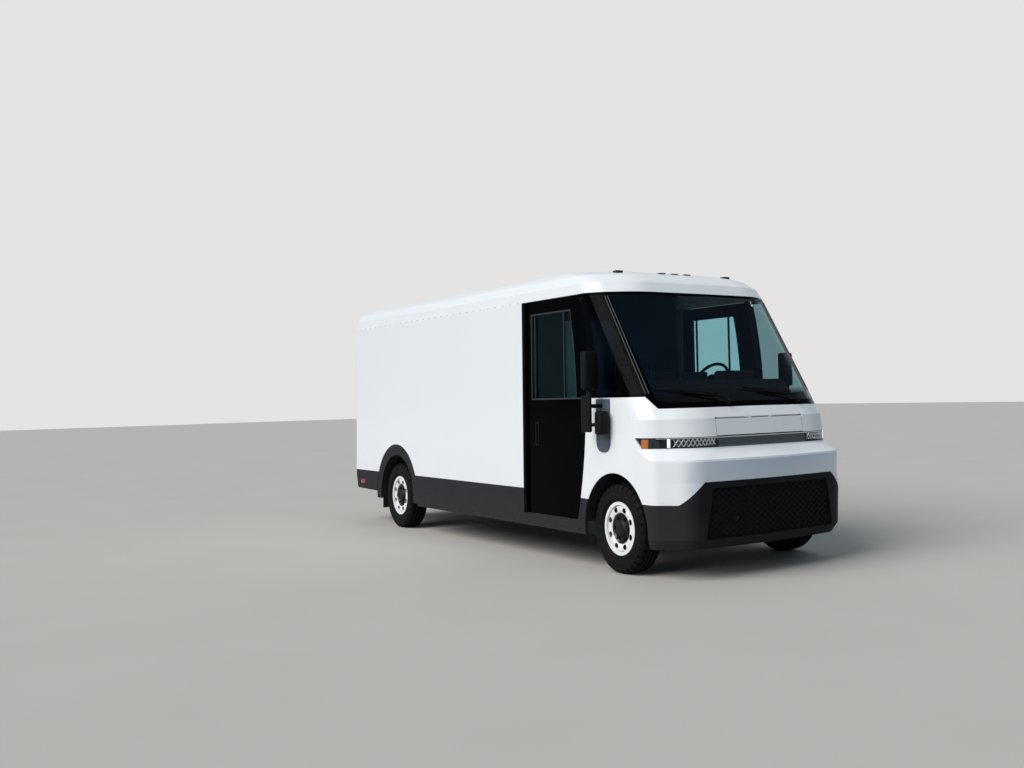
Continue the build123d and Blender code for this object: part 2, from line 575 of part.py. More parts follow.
# ---- Light bar: body across the whole nose, proud only between the lamps ----
lamp_seat = stacked_volume(CAB_LEVELS, DOOR_REAR_Y, LENS_THICK + 8)
lamp_back = stacked_volume(CAB_LEVELS, DOOR_REAR_Y, LIGHT_DEPTH)
AMBER_Y = (along(-484), along(-394))
with BuildPart() as light_bar:
    add(cab_outer)
    add(lamp_back, mode=Mode.SUBTRACT)
    side_prism(LAMP_STRIP, -FAR, FAR, mode=Mode.INTERSECT)
    for _, side in SIDES:
        block(side * (HOOD_HALF + 2), side * FAR, NOSE_Y - 10, along(-300), 0, FAR,
              mode=Mode.SUBTRACT)
with BuildPart() as light_bar_ends:
    add(lamp_seat)
    add(lamp_back, mode=Mode.SUBTRACT)
    side_prism(LAMP_STRIP, -FAR, FAR, mode=Mode.INTERSECT)
    block(-HOOD_HALF - 2, HOOD_HALF + 2, NOSE_Y - 10, along(-300), 0, FAR, mode=Mode.SUBTRACT)
with BuildPart() as light_bar_whole:
    add(light_bar.part)
    add(light_bar_ends.part)
light_bar_whole.part.label = "light_bar"
export_step(light_bar_whole.part, "parts/light_bar.step")

# ---- Lamp lenses: clear over the headlamps and at the raked tips ----
with BuildPart() as headlamps:
    add(cab_outer)
    add(lamp_seat, mode=Mode.SUBTRACT)
    side_prism(LAMP_STRIP, -FAR, FAR, mode=Mode.INTERSECT)
    block(-HOOD_HALF - 2, HOOD_HALF + 2, NOSE_Y - 10, along(-300), 0, FAR, mode=Mode.SUBTRACT)
    block(-FAR, FAR, *AMBER_Y, 0, FAR, mode=Mode.SUBTRACT)
headlamps.part.label = "headlamps"
export_step(headlamps.part, "parts/headlamps.step")

# ---- Amber lamps: strips round the corners, and five markers on the roof's front ----
MARKER = (70, 34, 18)
MARKER_Y = along(500)
MARKER_Z = (ROOF_TOP_Z - 100, ROOF_TOP_Z - 28)
MARKERS_X = (-640, -150, 0, 150, 640)
with BuildPart() as amber_corners:
    block(-FAR, FAR, *AMBER_Y, LIGHT_LOW_Z, LIGHT_HIGH_Z)
    add(cab_outer, mode=Mode.INTERSECT)
    add(lamp_seat, mode=Mode.SUBTRACT)
    side_prism(LAMP_STRIP, -FAR, FAR, mode=Mode.INTERSECT)
with BuildPart() as amber_lamps:
    for x in MARKERS_X:
        block(x - MARKER[0] / 2, x + MARKER[0] / 2, MARKER_Y - 60, MARKER_Y, *MARKER_Z)
    add(roof_outer, mode=Mode.SUBTRACT)
    add(amber_corners.part)
amber_lamps.part.label = "amber_lamps"
export_step(amber_lamps.part, "parts/amber_lamps.step")

# ---- Windscreen ----
SCREEN_TOP_Z = ROOF_SEAM_Z - 25
SCREEN_LOW_Z = COWL_Z + 45
SCREEN_FOOT = PILLAR_X - 90
SCREEN = [
    (-PILLAR_X + 10, SCREEN_LOW_Z + 20), (-SCREEN_FOOT, SCREEN_LOW_Z),
    (SCREEN_FOOT, SCREEN_LOW_Z), (PILLAR_X - 10, SCREEN_LOW_Z + 20),
    (PILLAR_TOP_X, SCREEN_TOP_Z), (-PILLAR_TOP_X, SCREEN_TOP_Z),
]
with BuildPart() as windscreen:
    add(cab_outer)
    add(cab_glazing, mode=Mode.SUBTRACT)
    front_prism(SCREEN, NOSE_Y, along(500), mode=Mode.INTERSECT)
windscreen.part.label = "windscreen"
export_step(windscreen.part, "parts/windscreen.step")

# ---- Quarter glass: wraps the cab corners behind the pillars ----
QUARTER_FRAME = 42
QUARTER_TOP_Z = ROOF_SEAM_Z - 30
with BuildPart() as quarter_glass:
    add(cab_outer)
    add(cab_glazing, mode=Mode.SUBTRACT)
    block(-FAR, FAR, NOSE_Y, DOOR_REAR_Y, BELT_Z + 8, QUARTER_TOP_Z, mode=Mode.INTERSECT)
    block(-PILLAR_SIDE_X, PILLAR_SIDE_X, NOSE_Y, DOOR_REAR_Y + 10, 0, FAR + 900,
          mode=Mode.SUBTRACT)
    for _, side in SIDES:
        door_prism(QUARTER_FRAME, DOOR_REAR_Y + 10, side * CORNER_X, side * FAR, mode=Mode.SUBTRACT)
quarter_glass.part.label = "quarter_glass"
export_step(quarter_glass.part, "parts/quarter_glass.step")

# ---- Cab frame: black pillars and header that hold the glass ----
with BuildPart() as quarter_openings:
    for _, side in SIDES:
        block(side * PILLAR_SIDE_X, side * FAR, NOSE_Y, DOOR_REAR_Y - 10, BELT_Z + 8,
              QUARTER_TOP_Z)
        door_prism(QUARTER_FRAME, DOOR_REAR_Y + 10, side * CORNER_X, side * FAR, mode=Mode.SUBTRACT)
with BuildPart() as cab_frame:
    add(cab_outer)
    add(cab_cavity, mode=Mode.SUBTRACT)
    front_prism(PAINTED_NOSE, NOSE_Y - 10, DOOR_REAR_Y, mode=Mode.SUBTRACT)
    front_prism(SCREEN, NOSE_Y, along(500), mode=Mode.SUBTRACT)
    add(quarter_openings.part, mode=Mode.SUBTRACT)
    for _, side in SIDES:
        door_prism(0, DOOR_REAR_Y + 10, side * CORNER_X, side * FAR, mode=Mode.SUBTRACT)
        block(side * CORNER_X, side * FAR, along(500), DOOR_REAR_Y + 10, 0, FAR + 900,
              mode=Mode.SUBTRACT)
cab_frame.part.label = "cab_frame"
export_step(cab_frame.part, "parts/cab_frame.step")

# ---- Door jambs: closing strips in front of each sliding door's edge ----
JAMB = 36
with BuildPart() as door_jambs:
    for _, side in SIDES:
        door_prism(JAMB + SEAM, DOOR_REAR_Y, side * (DOOR_INNER_X - 5), side * (BODY_HALF - WALL))
        door_prism(SEAM, DOOR_REAR_Y + 10, side * (DOOR_INNER_X - 15), side * FAR,
                   mode=Mode.SUBTRACT)
        block(side * (CLADDING_X - CLADDING), side * FAR, CLADDING_FRONT_Y, DOOR_REAR_Y, 0,
              FASCIA_SIDE_Z, mode=Mode.SUBTRACT)
    arch_cut(FRONT_AXLE_Y, FRONT_ARCH + LINER)
    add(cab_cavity, mode=Mode.INTERSECT)
door_jambs.part.label = "door_jambs"
export_step(door_jambs.part, "parts/door_jambs.step")

# ---- Door mirrors: tall head and wide-angle head on a bracket at each fender ----
MIRROR_ARM_X = BODY_HALF + 110
MIRROR_HIGH = (BODY_HALF + 42, BODY_HALF + 185, 140, 225, 1560, 1892)
MIRROR_LOW = (BODY_HALF + 30, BODY_HALF + 115, 10, 120, 1176, 1376)
with BuildPart() as door_mirrors:
    for _, side in SIDES:
        x_in, x_out, y_in, y_out, z_in, z_out = MIRROR_HIGH
        block(side * x_in, side * x_out, along(y_in), along(y_out), z_in, z_out)
        x_in, x_out, y_in, y_out, z_in, z_out = MIRROR_LOW
        block(side * x_in, side * x_out, along(y_in), along(y_out), z_in, z_out)
        block(side * BODY_HALF, side * (BODY_HALF + 24), along(40), along(190), 1210, 1480)
        block(side * (BODY_HALF + 20), side * MIRROR_ARM_X, along(90), along(180), 1400, 1440)
        block(side * (MIRROR_ARM_X - 40), side * MIRROR_ARM_X, along(140), along(180), 1400, 1600)
        block(side * (BODY_HALF + 20), side * MIRROR_ARM_X, along(30), along(110), 1240, 1280)
door_mirrors.part.label = "door_mirrors"
export_step(door_mirrors.part, "parts/door_mirrors.step")

# ---- Sliding side doors: black leaf with a window, hung behind the outer skins ----
DOOR_LOW_Z = STEP_TOP_Z + DOOR_CLEAR
DOOR_HIGH_Z = ROOF_SEAM_Z - DOOR_CLEAR
WINDOW_REAR_Y = DOOR_REAR_Y - 118
WINDOW_LOW_Z = BELT_Z
WINDOW_HIGH_Z = 2297
WINDOW_FRONT_FRAME = 210
for name, side in SIDES:
    x_in, x_out = side * DOOR_INNER_X, side * (DOOR_INNER_X + DOOR_THICK)
    with BuildPart() as window_zone:
        door_prism(-WINDOW_FRONT_FRAME, WINDOW_REAR_Y, x_in - side * 10, x_out + side * 10)
        block(side * CORNER_X, side * FAR, NOSE_Y, DOOR_REAR_Y, WINDOW_LOW_Z, WINDOW_HIGH_Z,
              mode=Mode.INTERSECT)
    with BuildPart() as side_door:
        door_prism(0, DOOR_REAR_Y + DOOR_OVERLAP, x_in, x_out)
        block(side * CORNER_X, side * FAR, NOSE_Y, TAIL_Y, DOOR_LOW_Z, DOOR_HIGH_Z,
              mode=Mode.INTERSECT)
        add(window_zone.part, mode=Mode.SUBTRACT)
        for shoe_y in (along(700), DOOR_REAR_Y - 120):
            block(x_in, x_out, shoe_y, shoe_y + 90, STEP_TOP_Z + SLIDE_FIT, DOOR_LOW_Z + 1)
    side_door.part.label = name + "_side_door"
    export_step(side_door.part, "parts/" + name + "_side_door.step")
    glass_x = DOOR_INNER_X + DOOR_THICK - 12
    with BuildPart() as door_glass:
        add(window_zone.part)
        block(side * (glass_x - GLASS), side * glass_x, NOSE_Y, TAIL_Y, 0, FAR + 900,
              mode=Mode.INTERSECT)
    door_glass.part.label = name + "_door_glass"
    export_step(door_glass.part, "parts/" + name + "_door_glass.step")

# ---- Bulkhead between cab and load space, with a sliding door on its rear face ----
with BuildPart() as bulkhead:
    block(-(LINING_X - LINING), LINING_X - LINING, BULKHEAD_Y, BULKHEAD_Y + BULKHEAD,
          FLOOR_TOP_Z, ROOF_SEAM_Z + 150)
    block(*DOORWAY, BULKHEAD_Y - 10, BULKHEAD_Y + BULKHEAD + 10, FLOOR_TOP_Z - 10,
          DOORWAY_TOP_Z, mode=Mode.SUBTRACT)
bulkhead.part.label = "bulkhead"
export_step(bulkhead.part, "parts/bulkhead.step")

with BuildPart() as bulkhead_door:
    block(DOORWAY[0] - 25, DOORWAY[1] + 25, LEAF_FRONT_Y, LEAF_FRONT_Y + LEAF,
          FLOOR_TOP_Z + TRACK_HIGH + SLIDE_FIT, DOORWAY_TOP_Z + 30)
    block(DOORWAY[0] + 30, DOORWAY[0] + 54, LEAF_FRONT_Y + LEAF, LEAF_FRONT_Y + LEAF + 30,
          1400, 1650)
bulkhead_door.part.label = "bulkhead_door"
export_step(bulkhead_door.part, "parts/bulkhead_door.step")

# ---- Dashboard with the steering column ----
SEAT_X = 420
COLUMN_ANGLE = 32           # column above the horizontal
WHEEL_CENTRE = (SEAT_X, along(450), 1620)
column_dir = Vector(0, math.cos(math.radians(COLUMN_ANGLE)), math.sin(math.radians(COLUMN_ANGLE)))
DASH_SIDE = [
    (FIREWALL_Y + 20, DASH_HIGH_Z), (FIREWALL_Y + 20, 1000), (along(-100), 900),
    (along(120), 1180), (along(200), 1480), (along(140), 1600), (along(-100), 1630),
    (along(-300), 1400),
]
with BuildPart() as dashboard:
    side_prism(DASH_SIDE, -(BODY_HALF - 190), BODY_HALF - 190)
    column_foot = Vector(*WHEEL_CENTRE) - column_dir * 330
    with Locations(Plane(origin=column_foot, z_dir=column_dir)):
        Cylinder(30, 300, align=(Align.CENTER, Align.CENTER, Align.MIN))
dashboard.part.label = "dashboard"
export_step(dashboard.part, "parts/dashboard.step")

# ---- Steering wheel ----
GRIP = 15
HOOP = 195
wheel_plane = Plane(origin=WHEEL_CENTRE, x_dir=(1, 0, 0), z_dir=column_dir)
with BuildPart() as steering_wheel:
    with Locations(wheel_plane):
        Torus(HOOP, GRIP)
        Cylinder(55, 40)
        for turn in (0, 90, 180):
            with Locations(Rotation(0, 0, turn)):
                with Locations((HOOP / 2, 0, 0)):
                    Box(HOOP - GRIP, 36, 14)
    with Locations(Plane(origin=Vector(*WHEEL_CENTRE) - column_dir * 29.7, z_dir=column_dir)):
        Cylinder(20, 20, align=(Align.CENTER, Align.CENTER, Align.MIN))
steering_wheel.part.label = "steering_wheel"
export_step(steering_wheel.part, "parts/steering_wheel.step")

# ---- Driver's seat: pedestal and back frame, with plain cushions ----
SEAT_Y = along(1130)
SEAT_PAN_Z = 1190
SEAT_PAN = 30
CUSHION = 120
BACK_HIGH_Z = 1910
with BuildPart() as seat_frame:
    block(SEAT_X - 170, SEAT_X + 170, SEAT_Y - 170, SEAT_Y + 200, FLOOR_TOP_Z, SEAT_PAN_Z)
    block(SEAT_X - 220, SEAT_X + 220, SEAT_Y - 230, SEAT_Y + 250, SEAT_PAN_Z,
          SEAT_PAN_Z + SEAT_PAN)
    block(SEAT_X - 200, SEAT_X + 200, SEAT_Y + 250, SEAT_Y + 275, SEAT_PAN_Z, BACK_HIGH_Z - 40)
seat_frame.part.label = "seat_frame"
export_step(seat_frame.part, "parts/seat_frame.step")
cushion_low_z = SEAT_PAN_Z + SEAT_PAN + 0.3
with BuildPart() as seat_cushion:
    block(SEAT_X - 240, SEAT_X + 240, SEAT_Y - 260, SEAT_Y + 130, cushion_low_z,
          cushion_low_z + CUSHION)
seat_cushion.part.label = "seat_cushion"
export_step(seat_cushion.part, "parts/seat_cushion.step")
with BuildPart() as seat_back:
    block(SEAT_X - 240, SEAT_X + 240, SEAT_Y + 135, SEAT_Y + 249.7, cushion_low_z + 5,
          BACK_HIGH_Z)
seat_back.part.label = "seat_back"
export_step(seat_back.part, "parts/seat_back.step")

# ---- Chassis: two rails with cross members, and bearers out to the cladding ----
RAIL_FRONT_Y = along(-620)
JACK_PAD = 45               # half the length of each jacking pad
CROSS_Y = (along(-560), along(620), along(1700), along(2900), along(3900),
           REAR_AXLE_Y + 640, TAIL_Y - 200)
with BuildPart() as chassis:
    for _, side in SIDES:
        block(side * (RAIL_X - RAIL_WIDTH / 2), side * (RAIL_X + RAIL_WIDTH / 2),
              RAIL_FRONT_Y, RAIL_REAR_Y, RAIL_LOW_Z, RAIL_HIGH_Z)
    for cross_y in CROSS_Y:
        block(-RAIL_X, RAIL_X, cross_y, cross_y + 60, RAIL_LOW_Z + 40, RAIL_HIGH_Z - 20)
    for bearer_y in CROSS_Y[1:]:
        block(-STEP_X, STEP_X, bearer_y, bearer_y + 60, RAIL_HIGH_Z, FLOOR_LOW_Z)
    for bearer_y in CROSS_Y[3:]:
        for _, side in SIDES:
            block(side * STEP_X, side * (CLADDING_X - CLADDING), bearer_y, bearer_y + 60,
                  RAIL_HIGH_Z + 20, FLOOR_LOW_Z)
    with Locations((TOW_X, (RAIL_FRONT_Y + TOW_Y) / 2, TOW_Z)):
        Cylinder(TOW_TUBE, RAIL_FRONT_Y - TOW_Y, rotation=(90, 0, 0))
    with Locations((TOW_X, TOW_Y + TOW_DEPTH / 2, TOW_Z)):
        Cylinder(TOW_THREAD, TOW_DEPTH, rotation=(90, 0, 0), mode=Mode.SUBTRACT)
    for pad_y in (along(700), REAR_AXLE_Y - 660):
        for _, side in SIDES:
            block(side * (RAIL_X - RAIL_WIDTH / 2), side * (RAIL_X + RAIL_WIDTH / 2),
                  pad_y - JACK_PAD, pad_y + JACK_PAD, RAIL_LOW_Z - 10, RAIL_LOW_Z)
chassis.part.label = "chassis"
export_step(chassis.part, "parts/chassis.step")

# ---- Battery pack: one heavy block under the rails ----
with BuildPart() as battery_pack:
    block(-BATTERY_HALF, BATTERY_HALF, along(760), REAR_AXLE_Y - 720, BATTERY_LOW_Z, RAIL_LOW_Z)
battery_pack.part.label = "battery_pack"
export_step(battery_pack.part, "parts/battery_pack.step")

# ---- Drive units on both axles, with half shafts towards the wheels ----
DRIVE_HALF = 210
with BuildPart() as drive_units:
    for axle_y in (FRONT_AXLE_Y, REAR_AXLE_Y):
        block(-DRIVE_HALF, DRIVE_HALF, axle_y - 230, axle_y + 200, AXLE_Z - 130,
              RAIL_HIGH_Z - 20)
        block(-(RAIL_X - RAIL_WIDTH / 2), RAIL_X - RAIL_WIDTH / 2, axle_y - 40, axle_y + 40,
              RAIL_HIGH_Z - 70, RAIL_HIGH_Z - 20)
        drum(-700, 700, axle_y, AXLE_Z, 17)
        for _, side in SIDES:
            drum(side * 640, side * 700, axle_y, AXLE_Z, 42)
drive_units.part.label = "drive_units"
export_step(drive_units.part, "parts/drive_units.step")

# ---- Suspension: wishbones to the front knuckles, links and spindles at the rear ----
EYE = 30
ARM = 26
PIN_LENGTH = 44
ARM_ROOT_X = RAIL_X + RAIL_WIDTH / 2
with BuildPart() as suspension:
    for _, side in SIDES:
        for level in (-1, 1):
            arm_z = AXLE_Z + level * ARM_OFFSET
            for spread in (-1, 1):
                side_y = FRONT_AXLE_Y + spread * 150
                with BuildSketch(Plane.XY.offset(arm_z - ARM / 2)):
                    with BuildLine():
                        Polyline((side * ARM_ROOT_X, side_y - 20),
                                 (side * ARM_ROOT_X, side_y + 20),
                                 (side * KINGPIN_X, FRONT_AXLE_Y + 16),
                                 (side * KINGPIN_X, FRONT_AXLE_Y - 16), close=True)
                    make_face()
                extrude(amount=ARM)
            with Locations((side * KINGPIN_X, FRONT_AXLE_Y, arm_z)):
                Cylinder(EYE, ARM)
        for spread in (-150, 150):
            block(side * (RAIL_X - 25), side * ARM_ROOT_X, FRONT_AXLE_Y + spread - 25,
                  FRONT_AXLE_Y + spread + 25, AXLE_Z - ARM_OFFSET - 20, RAIL_LOW_Z)
        for level in (-1, 1):
            with Locations((side * KINGPIN_X, FRONT_AXLE_Y, AXLE_Z + level * ARM_OFFSET)):
                Cylinder(KINGPIN_R + RUNNING_FIT, ARM + 10, mode=Mode.SUBTRACT)
        block(side * 730, side * 780, REAR_AXLE_Y - 60, REAR_AXLE_Y + 60, AXLE_Z - 90,
              AXLE_Z + 90)
        for level in (-1, 1):
            block(side * ARM_ROOT_X, side * 740, REAR_AXLE_Y - 50, REAR_AXLE_Y + 50,
                  AXLE_Z + level * 70 - 14, AXLE_Z + level * 70 + 14)
        block(side * (RAIL_X - 25), side * ARM_ROOT_X, REAR_AXLE_Y - 60, REAR_AXLE_Y + 60,
              AXLE_Z - 100, RAIL_LOW_Z)
        drum(side * 780, side * (WHEEL_X + HUB_REACH - 22), REAR_AXLE_Y, AXLE_Z, SPINDLE)
    drum(-720, 720, REAR_AXLE_Y, AXLE_Z, 43, mode=Mode.SUBTRACT)
suspension.part.label = "suspension"
export_step(suspension.part, "parts/suspension.step")

# ---- Front knuckles: upright with kingpins, brake disc and spindle ----
for name, side in SIDES:
    with BuildPart() as knuckle:
        block(side * (KINGPIN_X - 24), side * (KINGPIN_X + 24), FRONT_AXLE_Y - 40,
              FRONT_AXLE_Y + 40, AXLE_Z - ARM_OFFSET + ARM / 2 + 6,
              AXLE_Z + ARM_OFFSET - ARM / 2 - 6)
        for level in (-1, 1):
            with Locations((side * KINGPIN_X, FRONT_AXLE_Y, AXLE_Z + level * ARM_OFFSET)):
                Cylinder(KINGPIN_R, PIN_LENGTH)
        drum(side * (KINGPIN_X + 20), side * (WHEEL_X + HUB_REACH - 22), FRONT_AXLE_Y, AXLE_Z,
             SPINDLE)
    knuckle.part.label = name + "_knuckle"
    export_step(knuckle.part, "parts/" + name + "_knuckle.step")

# ---- Wheels: revolved steel rim with hand holes and lug nuts, and a plain tyre ----
BARREL = 8
rim_in = -RIM_WIDTH / 2
rim_out = RIM_WIDTH / 2 + 3.5
RIM_SECTION = [
    (SPINDLE + RUNNING_FIT, -40), (HUB_RADIUS - 12, -40), (HUB_RADIUS - 12, 30),
    (110, 34), (165, 62), (RIM_SEAT - BARREL - 6, 40), (RIM_SEAT - BARREL - 6, rim_in + 30),
    (RIM_SEAT - BARREL, rim_in), (RIM_FLANGE, rim_in), (RIM_FLANGE, rim_in + 8),
    (RIM_SEAT, rim_in + 14), (RIM_SEAT, rim_out - 14), (RIM_FLANGE, rim_out - 8),
    (RIM_FLANGE, rim_out), (RIM_SEAT - 6, rim_out), (RIM_SEAT - BARREL, rim_out - 30),
    (180, 60), (165, 72), (110, 44), (HUB_RADIUS + 12, 42), (HUB_RADIUS - 4, HUB_REACH),
    (0, HUB_REACH), (0, HUB_REACH - 20), (SPINDLE + RUNNING_FIT, HUB_REACH - 20),
]
TYRE_SECTION_OUTER = [
    (RIM_SEAT + 0.3, 73), (RIM_FLANGE + 1, 79.5), (RIM_FLANGE + 8, 96), (290, TYRE_WIDTH / 2),
    (345, 104), (TYRE_RADIUS - 6, 92), (TYRE_RADIUS, 80),
]
TYRE_SECTION = TYRE_SECTION_OUTER + [(r, -x) for r, x in reversed(TYRE_SECTION_OUTER)]
AXLES = (("front", FRONT_AXLE_Y), ("rear", REAR_AXLE_Y))
for axle_name, axle_y in AXLES:
    for name, side in SIDES:
        spin_axis = Axis((0, axle_y, AXLE_Z), (1, 0, 0))
        with BuildPart() as wheel:
            with BuildSketch(Plane(origin=(side * WHEEL_X, axle_y, AXLE_Z), x_dir=(0, 0, 1),
                                   z_dir=(0, -side, 0))):
                with BuildLine():
                    Polyline(*[(r, -x) for r, x in RIM_SECTION], close=True)
                make_face()
            revolve(axis=spin_axis)
            with BuildSketch(Plane(origin=(side * WHEEL_X, axle_y, AXLE_Z),
                                   x_dir=(0, 1, 0), z_dir=(side, 0, 0))):
                with PolarLocations(HAND_HOLE_RING, HAND_HOLES):
                    SlotOverall(HAND_HOLE_LENGTH, HAND_HOLE_WIDTH, rotation=90)
            extrude(amount=120, mode=Mode.SUBTRACT)
            with BuildSketch(Plane(origin=(side * (WHEEL_X + 40), axle_y, AXLE_Z),
                                   x_dir=(0, 1, 0), z_dir=(side, 0, 0))):
                with PolarLocations(HUB_RADIUS + 18, LUG_NUTS):
                    RegularPolygon(13, 6)
            extrude(amount=22)
        wheel.part.label = axle_name + "_" + name + "_wheel"
        export_step(wheel.part, "parts/" + axle_name + "_" + name + "_wheel.step")
        with BuildPart() as tyre:
            with BuildSketch(Plane(origin=(side * WHEEL_X, axle_y, AXLE_Z), x_dir=(0, 0, 1),
                                   z_dir=(0, -side, 0))):
                with BuildLine():
                    Polyline(*[(r, -x) for r, x in TYRE_SECTION], close=True)
                make_face()
            revolve(axis=spin_axis)
        tyre.part.label = axle_name + "_" + name + "_tyre"
        export_step(tyre.part, "parts/" + axle_name + "_" + name + "_tyre.step")
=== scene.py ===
import math

import bmesh
import bpy
from mathutils import Matrix, Vector


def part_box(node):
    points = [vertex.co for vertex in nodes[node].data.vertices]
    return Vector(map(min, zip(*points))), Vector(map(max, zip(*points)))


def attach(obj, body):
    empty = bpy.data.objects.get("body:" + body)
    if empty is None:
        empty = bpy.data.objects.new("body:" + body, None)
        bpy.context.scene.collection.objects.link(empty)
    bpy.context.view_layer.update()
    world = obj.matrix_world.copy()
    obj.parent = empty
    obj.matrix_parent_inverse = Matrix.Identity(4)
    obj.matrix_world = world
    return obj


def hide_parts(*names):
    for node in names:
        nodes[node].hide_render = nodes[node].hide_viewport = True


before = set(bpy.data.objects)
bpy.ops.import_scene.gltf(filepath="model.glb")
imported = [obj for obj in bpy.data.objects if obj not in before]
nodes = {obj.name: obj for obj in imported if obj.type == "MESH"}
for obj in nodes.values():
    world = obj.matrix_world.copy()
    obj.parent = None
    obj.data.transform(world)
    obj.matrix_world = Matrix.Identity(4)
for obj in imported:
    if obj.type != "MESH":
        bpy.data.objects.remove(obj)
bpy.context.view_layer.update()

# ---- Camera ----
# Stands at eye height off the right front corner, a little tilted, and takes in the whole
# side and nose. Its lens is shifted, so that the van sits right of the middle.
EYE = Vector((-6.121, -7.6103, 1.5102))
EYE_YAW = 0.65972
EYE_PITCH = 0.07633
EYE_ROLL = -0.02352
LENS = 37.43
LENS_SHIFT = (-0.1703, -0.0704)
front_low, front_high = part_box("front_left_tyre")
FRONT_AXLE_Y = (front_low.y + front_high.y) / 2
look = Vector((math.sin(EYE_YAW) * math.cos(EYE_PITCH), math.cos(EYE_YAW) * math.cos(EYE_PITCH),
               math.sin(EYE_PITCH)))
level_right = look.cross(Vector((0, 0, 1))).normalized()
level_up = level_right.cross(look)
right = math.cos(EYE_ROLL) * level_right + math.sin(EYE_ROLL) * level_up
up = -math.sin(EYE_ROLL) * level_right + math.cos(EYE_ROLL) * level_up
stand = EYE + Vector((0, FRONT_AXLE_Y, 0))
bpy.ops.object.camera_add()
camera = bpy.context.object
camera.name = "camera"
camera.matrix_world = Matrix((
    (right.x, up.x, -look.x, stand.x), (right.y, up.y, -look.y, stand.y),
    (right.z, up.z, -look.z, stand.z), (0, 0, 0, 1)))
camera.data.sensor_width = 36
camera.data.lens = LENS
camera.data.shift_x, camera.data.shift_y = LENS_SHIFT
camera.data.clip_end = 200
bpy.context.scene.camera = camera
bpy.context.scene.view_settings.view_transform = "Standard"

# ---- Studio ----
# A plain pale floor under an even pale room, with two broad soft lamps: a strong one off the
# right side and a weak one behind, so that the nose reads darker than the side.


class Shade:
    """A shader socket that takes part in sums: each sum adds its Math node."""

    def __init__(self, nodes_in, socket):
        self.nodes_in = nodes_in
        self.socket = socket

    def sum(self, operation, first, second):
        return self.nodes_in.node("Math", {"operation": operation}, {0: first, 1: second})

    def __add__(self, other):
        return self.sum("ADD", self, other)

    def __radd__(self, other):
        return self.sum("ADD", other, self)

    def __sub__(self, other):
        return self.sum("SUBTRACT", self, other)

    def __rsub__(self, other):
        return self.sum("SUBTRACT", other, self)

    def __mul__(self, other):
        return self.sum("MULTIPLY", self, other)

    def __rmul__(self, other):
        return self.sum("MULTIPLY", other, self)

    def __pow__(self, other):
        return self.sum("POWER", self, other)

    def __gt__(self, other):
        return self.sum("GREATER_THAN", self, other)

    def __lt__(self, other):
        return self.sum("LESS_THAN", self, other)

    def __abs__(self):
        return self.nodes_in.node("Math", {"operation": "ABSOLUTE"}, {0: self})


class Nodes:
    """A shader tree that is filled one node at a time."""

    def __init__(self, tree):
        self.tree = tree

    def node(self, kind, settings=None, sockets=None, output=0):
        """Adds a node: its settings first, then the values or links of its sockets."""
        made = self.tree.nodes.new("ShaderNode" + kind)
        for name, value in (settings or {}).items():
            setattr(made, name, value)
        for key, value in (sockets or {}).items():
            if isinstance(value, Shade):
                self.tree.links.new(value.socket, made.inputs[key])
            else:
                made.inputs[key].default_value = value
        return Shade(self, made.outputs[output])


class Finish(Nodes):
    """A material on one Principled shader, patterned in the piece's own coordinates."""

    def __init__(self, name, **fixed):
        self.material = bpy.data.materials.new(name)
        self.material.use_nodes = True
        super().__init__(self.material.node_tree)
        self.shader = self.tree.nodes["Principled BSDF"]
        for socket, value in fixed.items():
            self.shader.inputs[socket.replace("_", " ")].default_value = value
        self.place = self.node("TexCoord", output="Object")

    def along(self, axis):
        """The place along X, Y or Z."""
        return self.node("SeparateXYZ", None, {0: self.place}, output=axis)

    def noise(self, scale, detail=2, stretch=(1, 1, 1)):
        spot = self.node("Mapping", None, {"Vector": self.place, "Scale": stretch})
        return self.node("TexNoise", None, {"Vector": spot, "Scale": scale, "Detail": detail})

    def step(self, value, low, high):
        """0 below low, 1 above high and a smooth rise between them."""
        return self.node("MapRange", {"interpolation_type": "SMOOTHSTEP"},
                         {"Value": value, "From Min": low, "From Max": high})

    def tint(self, first, second, share):
        return self.node("Mix", {"data_type": "RGBA"}, {0: share, 6: first, 7: second}, output=2)

    def feed(self, socket, value):
        self.tree.links.new(value.socket, self.shader.inputs[socket])

    def relief(self, height, depth, edge=None):
        """Bump over the surface, on edges that are eased by the given radius."""
        sockets = {"Height": height, "Distance": depth, "Strength": 1.0}
        if edge:
            sockets["Normal"] = self.node("Bevel", {"samples": 4}, {"Radius": edge})
        self.feed("Normal", self.node("Bump", None, sockets))


FLOOR_SIZE = 160
BACKDROP = (0.79, 0.775, 0.76, 1)
AMBIENT = (0.68, 0.86, 1.0, 1)
AMBIENT_LEVEL = 0.34
bpy.ops.mesh.primitive_plane_add(size=FLOOR_SIZE, location=(0, 0, 0))
floor = bpy.context.object
floor.name = "studio_floor"
floor_finish = Finish("studio_floor", Roughness=0.9, Specular_IOR_Level=0.1)
floor_finish.feed("Base Color", floor_finish.tint(
    (0.46, 0.435, 0.41, 1), (0.50, 0.475, 0.45, 1), floor_finish.noise(0.8, 4)))
floor.data.materials.append(floor_finish.material)

world = bpy.data.worlds.new("studio")
bpy.context.scene.world = world
world.use_nodes = True
sky = Nodes(world.node_tree)
seen = sky.node("LightPath", output="Is Camera Ray")
seen = seen.sum("MAXIMUM", seen, sky.node("LightPath", output="Is Transmission Ray"))
room_colour = sky.node("Mix", {"data_type": "RGBA"}, {0: seen, 6: AMBIENT, 7: BACKDROP}, output=2)
background = world.node_tree.nodes["Background"]
world.node_tree.links.new(room_colour.socket, background.inputs["Color"])
world.node_tree.links.new((seen * (1 - AMBIENT_LEVEL) + AMBIENT_LEVEL).socket,
                          background.inputs["Strength"])

